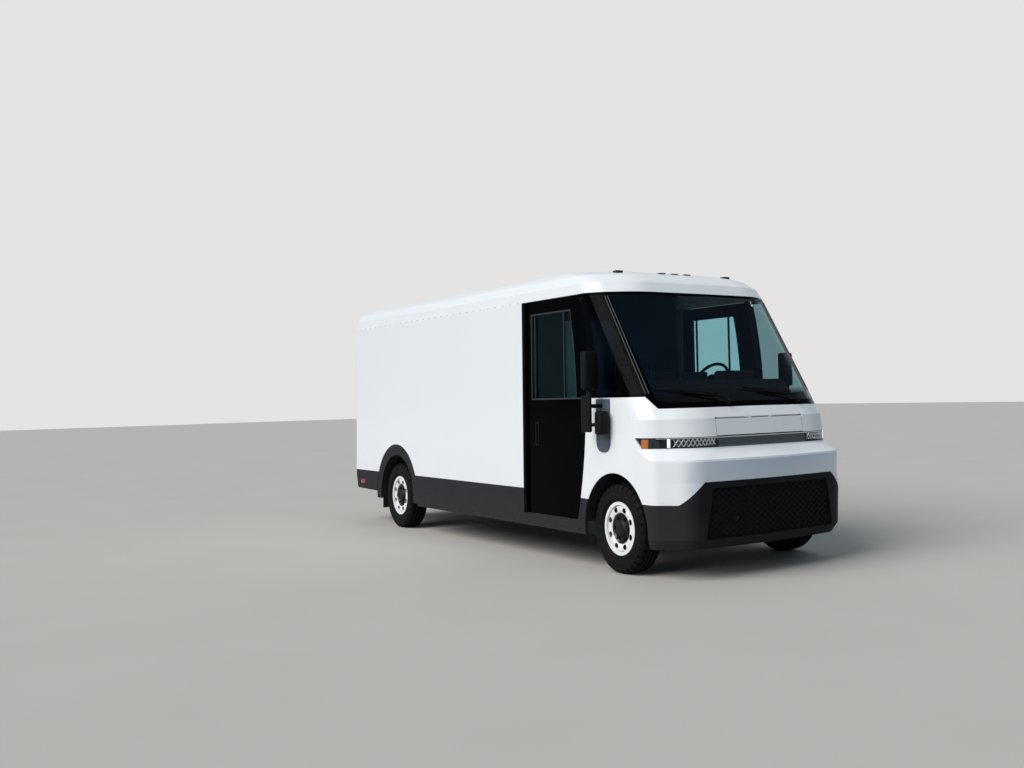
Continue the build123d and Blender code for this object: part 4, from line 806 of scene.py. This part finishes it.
# ---- Pillar glint strips ----
# Two thin grey strips run up each windscreen pillar beside the glass edges: painted highlights
# that stand for glints along the edges of the glossy black pillar.
# Painted highlight: these grey strips stand for glints on the pillar's edges.
pillar_glint_grey = mottled("pillar_glint_grey", ((0.22, 0.23, 0.24), (0.34, 0.35, 0.36)), (15, 3),
                    ((40, 2), 0.15, 0.25), Metallic=0.4)
screen_low, screen_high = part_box("windscreen")
glint_low_z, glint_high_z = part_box("quarter_glass")[0].z + 0.02, screen_high.z - 0.01
GLINT_STEPS = 10
GLINT_RUNS = ((0.004, 0.008), (0.026, 0.026))
for name, side in SIDES:
    glint_strips = []
    for foot, top in GLINT_RUNS:
        run = []
        for share in shares(GLINT_STEPS):
            x = side * (screen_high.x + foot + (top - foot) * share)
            z = glint_low_z + (glint_high_z - glint_low_z) * share
            run.append(touch("cab_frame", x, z)[0])
        glint_strips.append(strip("seal", run, (side * 0.005, 0, 0), 0.002))
    fit(join(f"{name}_pillar_glint_strips", glint_strips), pillar_glint_grey, "van")

# ---- Wipers ----
# Two black-coated steel arms pivot at the cowl and lie low across the glass, each with a
# rubber blade under a spine.
WIPER_PIVOTS = (-0.30, 0.52)
ARM_REACH = 0.3844
ARM_STEPS = 8
BLADE_START = 0.06
BLADE_REACH = 0.5208
BLADE_STEPS = 12
cowl_z = screen_low.z - 0.018


def puck(name, sides, radius, depth, centre, axis, edge, segments):
    """A short round block about an axis, with its edges eased."""
    bpy.ops.object.select_all(action="DESELECT")
    bpy.ops.mesh.primitive_cylinder_add(vertices=sides, radius=radius, depth=depth,
                                        location=centre)
    piece = bpy.context.object
    piece.name = name
    piece.rotation_mode = "QUATERNION"
    piece.rotation_quaternion = Vector(axis).to_track_quat("Z", "Y")
    bpy.ops.object.transform_apply()
    with Edit(piece):
        bpy.ops.mesh.bevel(offset=edge, segments=segments, affect="EDGES")
    smooth(piece)
    return piece


def rod(name, points, radius):
    """A round rod along points: the line becomes a curve with a round section."""
    draw_line(name, points)
    bpy.ops.object.convert(target="CURVE")
    curve = bpy.context.object
    curve.data.bevel_depth = radius
    curve.data.bevel_resolution = 3
    curve.data.use_fill_caps = True
    bpy.ops.object.convert(target="MESH")
    return bpy.context.object


wipers = []
for pivot in WIPER_PIVOTS:
    base, facing = touch("cab_frame", pivot, cowl_z)
    wipers.append(puck("wiper_pivot", 24, 0.022, 0.05, base + facing * 0.012, facing, 0.004, 2))
    arm_points = [base + facing * 0.034]
    for share in shares(ARM_STEPS)[1:]:
        point, normal = touch("windscreen", pivot - ARM_REACH * share,
                              screen_low.z + 0.02 + 0.055 * share)
        arm_points.append(point + normal * (0.035 - 0.012 * share))
    blade_points = []
    for share in shares(BLADE_STEPS):
        point, normal = touch("windscreen", pivot - BLADE_START - BLADE_REACH * share,
                              screen_low.z + 0.055 + 0.05 * share)
        blade_points.append(point + normal * 0.010)
    wipers.append(rod("wiper_arm", arm_points, 0.008))
    wipers.append(strip("wiper_blade", blade_points, (0, -0.010, 0.014), 0.008))
    wipers.append(rod("wiper_spine", [point + Vector((0, -0.012, 0.010))
                                      for point in blade_points], 0.006))
wiper_set = join("wipers", wipers)
smooth(wiper_set)
fit(wiper_set, black_trim, "van")

# ---- Side door fittings ----
# Each sliding leaf has a grey aluminium frame and two upright bars at its window, rubber on
# its front edge and a recessed pull; a rubber strip closes it against the side panel.
frame_grey = mottled("door_frame_grey", ((0.030, 0.032, 0.036), (0.055, 0.058, 0.063)), (9, 3),
                     ((120, 2, (1, 0.05, 1)), 0.2, 0.3), Metallic=0.5)
glass_low, glass_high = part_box("left_door_glass")
leaf_low, leaf_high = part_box("left_side_door")
outer = leaf_high.x
FRAME_PROUD = 0.003
FRAME_WIDTH = 0.015
FRAME_EDGE = 0.002
BAR_HALF = 0.006
BARS_Y = (0.850, 1.385)
EDGE_STEPS = 16
PULL_HALF = (0.034, 0.11)
PULL_Z = 1.16


def slab(name, low, high, edge=0.0):
    """A block between two corners, with its edges eased."""
    low, high = Vector(low), Vector(high)
    bpy.ops.object.select_all(action="DESELECT")
    bpy.ops.mesh.primitive_cube_add(size=1, location=(low + high) / 2,
                                    scale=[abs(size) for size in high - low])
    piece = bpy.context.object
    piece.name = name
    bpy.ops.object.transform_apply()
    if edge:
        with Edit(piece):
            bpy.ops.mesh.bevel(offset=edge, segments=3, affect="EDGES")
        smooth(piece)
    return piece


def step_in(piece, test, margin, move):
    """Insets the faces that pass a test and extrudes them by a move."""
    with Edit(piece):
        pick(piece, test)
        bpy.ops.mesh.inset(thickness=margin)
        draw_out(move)


half = FRAME_WIDTH / 2
front_edge = []
for share in shares(12):
    z = glass_low.z + 0.004 + (glass_high.z - glass_low.z - 0.008) * share
    front_edge.append((touch("left_door_glass", glass_high.x - 0.003, z)[0].y, z))
belt_y = touch("left_side_door", outer - 0.02, glass_low.z)[0].y + 0.02
rail_spans = [
    (belt_y, glass_high.y + 0.012, glass_low.z - half, glass_low.z + half),
    (front_edge[-1][0] - 0.01, glass_high.y + 0.012, glass_high.z - half, glass_high.z + half),
    (glass_high.y - half, glass_high.y + half, glass_low.z, glass_high.z),
]
for bar_y in BARS_Y:
    y = FRONT_AXLE_Y + bar_y
    rail_spans.append((y - BAR_HALF, y + BAR_HALF, glass_low.z, glass_high.z))
for name, side in SIDES:
    x_in, x_out = side * (outer - 0.020), side * (outer + FRAME_PROUD)
    rails = [slab("rail", (x_in, y_a, z_a), (x_out, y_b, z_b), FRAME_EDGE)
             for y_a, y_b, z_a, z_b in rail_spans]
    rails.append(strip("rail", [(side * (outer - 0.008), y, z) for y, z in front_edge],
                       (0, 0.009, 0), 0.022))
    fit(join(f"{name}_window_frame", rails), frame_grey, f"{name}_door")
    edge_run = []
    for share in shares(EDGE_STEPS):
        z = leaf_low.z + 0.02 + (leaf_high.z - leaf_low.z - 0.04) * share
        point = touch(f"{name}_side_door", side * (outer - 0.02), z)[0]
        edge_run.append(point + Vector((side * 0.0205, 0.002, 0)))
    seal = strip(f"{name}_door_edge_rubber", edge_run, (0, 0.014, 0), 0.003)
    fit(seal, flap_rubber, f"{name}_door")
    panel_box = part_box(f"{name}_side_panel")
    panel_x = panel_box[1].x if side > 0 else -panel_box[0].x
    opening_seal = slab(f"{name}_opening_seal",
                        (side * (outer + 0.008), panel_box[0].y - 0.003, panel_box[0].z),
                        (side * (panel_x - 0.0005), panel_box[0].y + 0.001, panel_box[1].z), 0.001)
    fit(opening_seal, flap_rubber, "van")
    grip_y = leaf_high.y - 0.23
    pull = slab(f"{name}_door_pull",
                (side * (outer - 0.006), grip_y - PULL_HALF[0], PULL_Z - PULL_HALF[1]),
                (side * (outer + FRAME_PROUD), grip_y + PULL_HALF[0], PULL_Z + PULL_HALF[1]),
                0.0025)
    step_in(pull, lambda face: abs(face.normal.x) > 0.99
            and abs(face.calc_center_median().x) > outer and face.calc_area() > 0.003,
            0.010, (-side * 0.007, 0, 0))
    fit(pull, black_trim, f"{name}_door")

# ---- Door mirrors ----
# Each side has a tall flat mirror over a small wide-angle one, in rounded moulded housings
# on a flat moulded arm, bolted to the fender by a pressed base plate with a rounded foot. The
# plate is painted dark blue-grey: a painted shadow of the mirror on white paint.
skin_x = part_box("right_side_panel")[0].x
mirror_glass = mottled("mirror_silver", ((0.60, 0.63, 0.66), (0.72, 0.75, 0.78)), (3, 3),
                       ((20, 2), 0.04, 0.02), Metallic=1.0)
# Painted shadow: the base plate's dark blue-grey stands for white paint in the mirror's shade.
mirror_shadow_grey = mottled(
    "mirror_shadow_plate_grey", ((0.055, 0.072, 0.098), (0.085, 0.105, 0.135)), (6, 3),
    ((30, 3), 0.2, 0.35), Specular_IOR_Level=0.3)
HEADS = (
    ((0.042, 0.140, 1.560), (0.185, 0.225, 1.892), 0.026),
    ((0.030, 0.010, 1.176), (0.115, 0.120, 1.376), 0.020),
)
HEAD_LIP = 0.006
GLASS_SET = 0.008
PLATE_Y = (0.040, 0.250)
PLATE_Z = (1.022, 1.478)
PLATE_FOOT = 0.085
housings, glasses = [], []
for name, side in SIDES:
    for low, high, edge in HEADS:
        low_x, high_x = side * (low[0] - skin_x), side * (high[0] - skin_x)
        low_y, high_y = FRONT_AXLE_Y + low[1], FRONT_AXLE_Y + high[1]
        head = slab("head", (low_x, low_y, low[2]), (high_x, high_y, high[2]), edge)
        step_in(head, lambda face: face.normal.y > 0.99, HEAD_LIP, (0, -GLASS_SET, 0))
        housings.append(head)
        margin = edge + GLASS_SET
        glasses.append(slab("glass", (low_x + side * margin, high_y - 0.010, low[2] + margin),
                            (high_x - side * margin, high_y - 0.006, high[2] - margin), 0.001))
    arm_x = side * (0.090 - skin_x)
    arm_y = FRONT_AXLE_Y + 0.160
    foot_x = side * -skin_x
    housings.append(slab("upright", (arm_x + side * 0.020, arm_y - 0.012, 1.196),
                         (arm_x + side * 0.052, arm_y + 0.130, 1.512), 0.014))
    housings.append(slab("neck", (arm_x + side * 0.012, arm_y - 0.010, 1.49),
                         (arm_x + side * 0.046, arm_y + 0.050, 1.600), 0.012))
    for reach_y, reach_z in ((arm_y, 1.420), (arm_y - 0.075, 1.260)):
        housings.append(rod("reach", [(foot_x + side * 0.010, reach_y, reach_z),
                                      (arm_x + side * 0.030, reach_y, reach_z)], 0.018))
    housings.append(rod("brace", [(arm_x + side * 0.030, arm_y + 0.02, 1.260),
                                  (arm_x + side * 0.010, arm_y - 0.085, 1.260)], 0.016))
    plate = slab(f"{name}_mirror_base",
                 (foot_x - side * 0.001, FRONT_AXLE_Y + PLATE_Y[0], PLATE_Z[0]),
                 (foot_x + side * 0.010, FRONT_AXLE_Y + PLATE_Y[1], PLATE_Z[1]))
    with Edit(plate):
        pick(plate, lambda edge: abs(edge.verts[0].co.x - edge.verts[1].co.x) > 0.005
             and edge.verts[0].co.z < PLATE_Z[0] + 0.01, "edges")
        bpy.ops.mesh.bevel(offset=PLATE_FOOT, segments=8, affect="EDGES")
        pick(plate, lambda face: face.normal.x * side > 0.9)
        bpy.ops.mesh.bevel(offset=0.003, segments=2, affect="EDGES")
    smooth(plate, 0.5)
    fit(plate, mirror_shadow_grey, "van")
mirrors = join("mirror_housings", housings)
smooth(mirrors)
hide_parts("door_mirrors")
fit(mirrors, black_trim, "van")
fit(join("mirror_glasses", glasses), mirror_glass, "van")

# ---- Roof seam and side markers ----
# Small dark clips fasten the roof to the side panels at even steps, and a flush red marker in
# moulded acrylic is set into the rear end of each side cladding.
roof_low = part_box("roof")[0]
panel_low, panel_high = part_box("right_side_panel")
CLIP_PITCH = 0.16
MARKER_HALF = (0.055, 0.024)
MARKER_INSET = 0.215
MARKER_Z = 0.500


def copies(name, pattern, places):
    """Copies of a small pattern mesh at places, joined to one piece."""
    made = [copy_to(pattern, name, Matrix.Translation(place)) for place in places]
    bpy.data.objects.remove(pattern)
    return join(name, made)


clip_count = int((panel_high.y - panel_low.y) / CLIP_PITCH)
side_x = -panel_low.x
cladding_x = -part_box("side_cladding")[0].x
marker_y = panel_high.y - MARKER_INSET
for name, side in SIDES:
    clip = slab("clip", (side * (side_x - 0.009), -0.016, -0.004),
                (side * (side_x - 0.0005), 0.016, 0.004), 0.0015)
    spots = [(0, panel_low.y + CLIP_PITCH * (step + 0.5), roof_low.z - 0.001)
             for step in range(clip_count)]
    fit(copies(f"{name}_seam_clips", clip, spots), black_trim, "van")
    marker = slab(f"{name}_side_marker", (side * (cladding_x - 0.006), marker_y - MARKER_HALF[0],
                                          MARKER_Z - MARKER_HALF[1]),
                  (side * (cladding_x + 0.0015), marker_y + MARKER_HALF[0],
                   MARKER_Z + MARKER_HALF[1]), 0.0035)
    step_in(marker, lambda face: abs(face.normal.x) > 0.99
            and abs(face.calc_center_median().x) > cladding_x, 0.006, (-side * 0.001, 0, 0))
    fit(marker, red_finish, "van")

# ---- Driver's seat ----
# Foam cushion and back in charcoal woven cloth, bonded to the steel seat pan: a crowned pad
# each, with two sewn threads down its length and one or two across.
seat_fabric = Finish("seat_fabric", Specular_IOR_Level=0.15)
weave = seat_fabric.node("TexWave", {"wave_type": "BANDS", "bands_direction": "DIAGONAL"},
                         {"Vector": seat_fabric.place, "Scale": 220, "Distortion": 1.5})
wear = seat_fabric.noise(7, 5)
seat_fabric.feed("Base Color", seat_fabric.tint(
    seat_fabric.tint((0.018, 0.020, 0.024, 1), (0.034, 0.036, 0.042, 1), weave),
    (0.050, 0.050, 0.052, 1), wear * 0.3))
seat_fabric.feed("Roughness", wear * 0.15 + 0.8)
seat_fabric.relief(weave, 0.0008)
thread = mottled("seat_thread", ((0.08, 0.082, 0.088), (0.13, 0.132, 0.14)), (90, 2),
                 ((150, 2), 0.1, 0.7), Specular_IOR_Level=0.15)
PAD_INSET = 0.020
PAD_VOXEL = 0.011
PAD_SWELL = 0.024
PAD_FRAMES = 20
PAD_PRESSURE = 4.0
PAD_REST = 0.006


def crowned_pad(node, rest_axis, rest_side):
    """A pad blown up from a slightly smaller copy of its solid, flat where it rests: at the
    low or the high end (side -1 or 1) of an axis."""
    pad = nodes[node].copy()
    pad.data = pad.data.copy()
    pad.name = f"{node}_pad"
    bpy.context.scene.collection.objects.link(pad)
    low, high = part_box(node)
    middle = (low + high) / 2
    with Edit(pad):
        bpy.ops.mesh.remove_doubles(threshold=0.0001)
        bpy.ops.mesh.normals_make_consistent(inside=False)
        bpy.ops.transform.resize(value=[1 - 2 * PAD_INSET / size for size in high - low],
                                 center_override=middle)
    modify(pad, "REMESH", mode="VOXEL", voxel_size=PAD_VOXEL)
    harden(pad)
    cloth = pad.modifiers.new("foam", "CLOTH")
    cloth.settings.use_pressure = True
    cloth.settings.uniform_pressure_force = PAD_PRESSURE
    cloth.settings.effector_weights.gravity = 0
    cloth.point_cache.frame_end = PAD_FRAMES
    for moment in range(1, PAD_FRAMES + 1):
        bpy.context.scene.frame_set(moment)
    blown = pad.evaluated_get(bpy.context.evaluated_depsgraph_get()).data
    swollen = [corner.co.copy() for corner in blown.vertices]
    pad.modifiers.remove(cloth)
    bpy.context.scene.frame_set(1)
    for corner, target in zip(pad.data.vertices, swollen):
        move = target - corner.co
        if move.length > PAD_SWELL:
            move = move.normalized() * PAD_SWELL
        corner.co = corner.co + move
    level = (high if rest_side > 0 else low)[rest_axis] - rest_side * PAD_REST
    flat = [1, 1, 1]
    flat[rest_axis] = 0
    centre = middle.copy()
    centre[rest_axis] = level
    with Edit(pad):
        pick(pad, lambda corner: (corner.co[rest_axis] - level) * rest_side > 0, "verts")
        bpy.ops.transform.resize(value=flat, center_override=centre)
    modify(pad, "SUBSURF", levels=1, render_levels=1)
    harden(pad)
    smooth(pad, 1.2)
    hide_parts(node)
    fit(pad, seat_fabric, "van")
    return pad


def sewn(pad, starts, step_along, towards, count):
    """Threads that lie on a pad: each starts at a point and is cast onto the surface."""
    threads = []
    for start in starts:
        run = []
        for step in range(count):
            hit, point, normal, _ = pad.ray_cast(start + step_along * step, towards)
            if hit:
                run.append(point + normal * 0.0005)
        threads.append(rod("thread", run, 0.0022))
    return threads


CHANNEL = 0.13
STITCHES = 15
CAST_FROM = 0.2
PAD_END = 0.04
cushion_low, cushion_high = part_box("seat_cushion")
cushion = crowned_pad("seat_cushion", 2, -1)
back_low, back_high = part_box("seat_back")
back = crowned_pad("seat_back", 1, 1)
seat_x = (cushion_low.x + cushion_high.x) / 2
down, rearward = Vector((0, 0, -1)), Vector((0, 1, 0))
cushion_run = Vector((0, (cushion_high.y - cushion_low.y - 2 * PAD_END) / (STITCHES - 1), 0))
back_run = Vector((0, 0, (back_high.z - back_low.z - 2 * PAD_END) / (STITCHES - 1)))
across_run = Vector((2 * CHANNEL / (STITCHES - 1), 0, 0))
over, behind_y = cushion_high.z + CAST_FROM, back_low.y - CAST_FROM
threads = sewn(cushion, [Vector((seat_x + x, cushion_low.y + PAD_END, over))
                         for x in (-CHANNEL, CHANNEL)], cushion_run, down, STITCHES)
threads += sewn(cushion, [Vector((seat_x - CHANNEL, cushion_low.y + 0.24, over))],
                across_run, down, STITCHES)
threads += sewn(back, [Vector((seat_x + x, behind_y, back_low.z + PAD_END))
                       for x in (-CHANNEL, CHANNEL)], back_run, rearward, STITCHES)
threads += sewn(back, [Vector((seat_x - CHANNEL, behind_y, back_low.z + rise))
                       for rise in (0.25, 0.50)], across_run, rearward, STITCHES)
fit(join("seat_threads", threads), thread, "van")

# ---- Dashboard fittings ----
# A hooded instrument binnacle ahead of the wheel, a plain centre screen and four louvred
# vents, in moulded plastic clipped to the dashboard; two pedals hang from the toe board.
screen_black = mottled("display_glass", ((0.003, 0.003, 0.004), (0.008, 0.009, 0.011)), (6, 3),
                       ((10, 2), 0.06, 0.06), Specular_IOR_Level=0.4)
top_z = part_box("dashboard")[1].z
VENTS_X = (-0.66, -0.30, 0.10, 0.74)
VENT_LOUVRES = 4
PEDALS = ((-0.055, 0.050), (0.075, 0.032))
hood_y = FRONT_AXLE_Y + 0.02
binnacle = slab("binnacle", (seat_x - 0.21, hood_y, top_z - 0.06),
                (seat_x + 0.19, hood_y + 0.15, top_z + 0.085), 0.030)
tablet = slab("tablet", (seat_x - 0.62, hood_y + 0.06, top_z - 0.10),
              (seat_x - 0.34, hood_y + 0.095, top_z + 0.075), 0.010)
stalk = slab("stalk", (seat_x - 0.52, hood_y - 0.02, top_z - 0.12),
             (seat_x - 0.44, hood_y + 0.065, top_z - 0.02), 0.008)
fit(join("dash_housings", [binnacle, tablet, stalk]), cab_plastic, "van")
vents = []
for x in VENTS_X:
    spot = meet("dashboard", (x, -0.5, top_z - 0.095), (0, -1, 0))[0]
    vents.append(slab("vent", spot + Vector((-0.060, -0.010, -0.034)),
                      spot + Vector((0.060, 0.004, 0.034)), 0.004))
    for louvre in range(VENT_LOUVRES):
        rise = 0.014 * louvre - 0.021
        vents.append(slab("louvre", spot + Vector((-0.052, 0.002, rise - 0.002)),
                          spot + Vector((0.052, 0.009, rise + 0.003)), 0.001))
pedals = []
for x, width in PEDALS:
    pad = (seat_x + x, FRONT_AXLE_Y + 0.350, 0.860)
    pedals.append(slab("pad", (pad[0] - width, pad[1] - 0.008, pad[2] - 0.040),
                       (pad[0] + width, pad[1] + 0.008, pad[2] + 0.040), 0.006))
    pedals.append(rod("pedal_arm", [pad, (pad[0], pad[1] - 0.030, 0.920),
                                    (pad[0], pad[1] - 0.090, 1.000)], 0.008))
fit(join("dash_vents", vents), black_trim, "van")
fit(join("pedals", pedals), black_trim, "van")
dials = [slab("dial_glass", (seat_x - 0.17, hood_y + 0.1495, top_z - 0.025),
              (seat_x + 0.15, hood_y + 0.152, top_z + 0.055), 0.001),
         slab("tablet_glass", (seat_x - 0.605, hood_y + 0.0945, top_z - 0.085),
              (seat_x - 0.355, hood_y + 0.097, top_z + 0.060), 0.001)]
fit(join("dash_displays", dials), screen_black, "van")

# ---- Steering wheel pad ----
# A soft moulded pad in dark plastic covers the steering wheel's boss; it is clipped to the
# wheel and turns with it.
WHEEL_TILT = math.radians(32)
wheel_low, wheel_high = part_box("steering_wheel")
wheel_axis = Vector((0, math.cos(WHEEL_TILT), math.sin(WHEEL_TILT)))
wheel_centre = Vector(((wheel_low.x + wheel_high.x) / 2, FRONT_AXLE_Y + 0.45, 1.62))
boss = puck("steering_pad", 48, 0.070, 0.030, wheel_centre + wheel_axis * 0.012, wheel_axis,
            0.010, 3)
fit(boss, cab_plastic, "steering")

# ---- Cladding rivets, entry treads and small front fittings ----
# Push rivets hold the cladding's lower edge, pressed ribs give grip on the entry steps and a cap
# closes the towing hole. A strip in white paint fills the service lid's hinge gap: painted light
# over the gap's shade.
RIVET_PITCH = 0.30
RIVET_Z = 0.335
RIVET_CLEAR = 0.62
TREAD_RIBS = 4
TREADS_Y = (FRONT_AXLE_Y + 0.66, FRONT_AXLE_Y + 1.42)
TOW_X, TOW_Z = -0.42, 0.48
clad_low, clad_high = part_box("side_cladding")
for name, side in SIDES:
    bpy.ops.mesh.primitive_cylinder_add(vertices=12, radius=0.009, depth=0.006,
                                        rotation=(0, math.pi / 2, 0))
    rivet = join("rivet", [bpy.context.object])
    with Edit(rivet):
        pick(rivet, lambda face: face.normal.x * side > 0.9)
        bpy.ops.mesh.inset(thickness=0.004)
        bpy.ops.transform.translate(value=(-side * 0.0015, 0, 0))
    rivet_spots = []
    for step in range(int((clad_high.y - clad_low.y) / RIVET_PITCH)):
        y = clad_low.y + RIVET_PITCH * (step + 0.5)
        spot = meet("side_cladding", (side * 2, y, RIVET_Z), (-side, 0, 0))[0]
        if spot is not None and abs(y - REAR_AXLE_Y) > RIVET_CLEAR:
            rivet_spots.append(spot - Vector((side * 0.001, 0, 0)))
    fit(copies(f"{name}_cladding_rivets", rivet, rivet_spots), black_trim, "van")
    ribs = []
    for row in range(TREAD_RIBS):
        x = 0.800 + 0.036 * row
        foot = meet("cab_floor", (side * x, FRONT_AXLE_Y + 1.0, 0.70), (0, 0, -1))[0]
        ribs.append(slab("rib", (side * x - 0.008, TREADS_Y[0], foot.z - 0.002),
                         (side * x + 0.008, TREADS_Y[1], foot.z + 0.004), 0.0015))
    fit(join(f"{name}_step_tread", ribs), cast_alloy, "van")
tow_y = touch("grille", TOW_X + 0.05, TOW_Z)[0].y
cap = puck("towing_cap", 32, 0.031, 0.010, (TOW_X, tow_y - 0.003, TOW_Z), (0, -1, 0), 0.003, 2)
fit(cap, black_trim, "van")
# Painted light: a white strip sits in the hinge gap so that the gap's shade does not show.
gap_light_run = []
for share in shares(24):
    x = (hood_high.x - 0.02) * (2 * share - 1)
    gap_light_run.append(touch("hood_lid", x, hood_high.z - 0.020)[0] + Vector((0, 0.013, 0.014)))
hinge_gap_light = strip("hinge_gap_light", gap_light_run, (0, 0.002, 0.016), 0.002)
fit(hinge_gap_light, white_paint, "van")

# ---- Rear fittings ----
# Tail lamps sit in black bezels with two dividers and a clear reversing lens. The load door
# has a black latch, the portal two steel grab handles and five markers, and the step bumper
# ribs for grip with a blank plate on its holder below.
reverse_lens = Finish("reverse_lens", Specular_IOR_Level=0.5)
prisms = reverse_lens.node("TexVoronoi", {"feature": "F1"},
                           {"Vector": reverse_lens.place, "Scale": 60})
reverse_lens.feed("Base Color", reverse_lens.tint(
    (0.42, 0.43, 0.44, 1), (0.62, 0.63, 0.64, 1), prisms))
reverse_lens.feed("Roughness", reverse_lens.noise(30, 2) * 0.1 + 0.12)
plate_white = mottled("blank_plate", ((0.55, 0.56, 0.56), (0.66, 0.67, 0.67)), (14, 3),
                      ((40, 2), 0.15, 0.3), Metallic=0.1)
LAMP_WIDTH = 0.130
BEZEL = 0.009
BEZEL_EDGE = 0.001
LATCH_Z = 0.98
GRIPS_Y = (0.012, 0.040, 0.068)
HANDLE_BENDS = ((-0.004, 1.660), (0.022, 1.672), (0.032, 1.700), (0.032, 1.960),
                (0.022, 1.988), (-0.004, 2.000))
tail_low, tail_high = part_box("tail_lamps")
portal_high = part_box("rear_portal")[1]
step_low, step_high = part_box("rear_bumper")
lamp_in, lamp_out = tail_high.x - LAMP_WIDTH, tail_high.x
bezels, reversers, handles = [], [], []
for name, side in SIDES:
    for x_a, x_b, z_a, z_b in (
            (lamp_in - BEZEL, lamp_in, tail_low.z - BEZEL, tail_high.z + BEZEL),
            (lamp_out, lamp_out + BEZEL, tail_low.z - BEZEL, tail_high.z + BEZEL),
            (lamp_in, lamp_out, tail_low.z - BEZEL, tail_low.z),
            (lamp_in, lamp_out, tail_high.z, tail_high.z + BEZEL),
            (lamp_in, lamp_out, tail_low.z + 0.150, tail_low.z + 0.156),
            (lamp_in, lamp_out, tail_low.z + 0.352, tail_low.z + 0.358)):
        bezels.append(slab("bezel", (side * x_a, portal_high.y - 0.002, z_a),
                           (side * x_b, tail_high.y + 0.004, z_b), BEZEL_EDGE))
    reversers.append(slab(
        "reverser", (side * (lamp_in + 0.006), tail_high.y - 0.004, tail_low.z + 0.008),
        (side * (lamp_out - 0.006), tail_high.y + 0.002, tail_low.z + 0.142), 0.0015))
    post_x = side * (lamp_in + lamp_out) / 2
    handles.append(rod("handle", [(post_x, portal_high.y + y, z) for y, z in HANDLE_BENDS],
                       0.010))
fit(join("tail_lamp_bezels", bezels), black_trim, "van")
fit(join("reversing_lenses", reversers), reverse_lens, "van")
grabs = join("rear_grab_handles", handles)
smooth(grabs)
fit(grabs, chassis_black, "van")
marker = slab("marker", (-0.045, -0.002, -0.012), (0.045, 0.007, 0.012), 0.003)
fit(copies("rear_markers", marker, [(x, portal_high.y, portal_high.z - 0.075)
                                    for x in (-0.92, -0.18, 0, 0.18, 0.92)]),
    red_finish, "van")
latch_y = meet("roll_up_door", (0, 5, LATCH_Z), (0, -1, 0))[0].y
latch = [slab("latch", (-0.085, latch_y - 0.004, LATCH_Z - 0.030),
              (0.085, latch_y + 0.010, LATCH_Z + 0.030), 0.004),
         slab("lever", (-0.018, latch_y + 0.006, LATCH_Z - 0.075),
              (0.018, latch_y + 0.022, LATCH_Z + 0.020), 0.006)]
fit(join("load_door_latch", latch), black_trim, "van")
grips = [slab("grip", (step_low.x + 0.04, step_high.y - y - 0.010, step_high.z - 0.002),
              (step_high.x - 0.04, step_high.y - y, step_high.z + 0.003), 0.001)
         for y in GRIPS_Y]
fit(join("bumper_grips", grips), flap_rubber, "van")
plate_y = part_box("chassis")[1].y
holder = slab("plate_holder", (-0.165, plate_y - 0.002, step_low.z - 0.155),
              (0.165, plate_y + 0.006, step_low.z - 0.002), 0.002)
fit(holder, black_trim, "van")
plate = slab("blank_plate", (-0.152, plate_y + 0.005, step_low.z - 0.150),
             (0.152, plate_y + 0.008, step_low.z - 0.008), 0.001)
fit(plate, plate_white, "van")
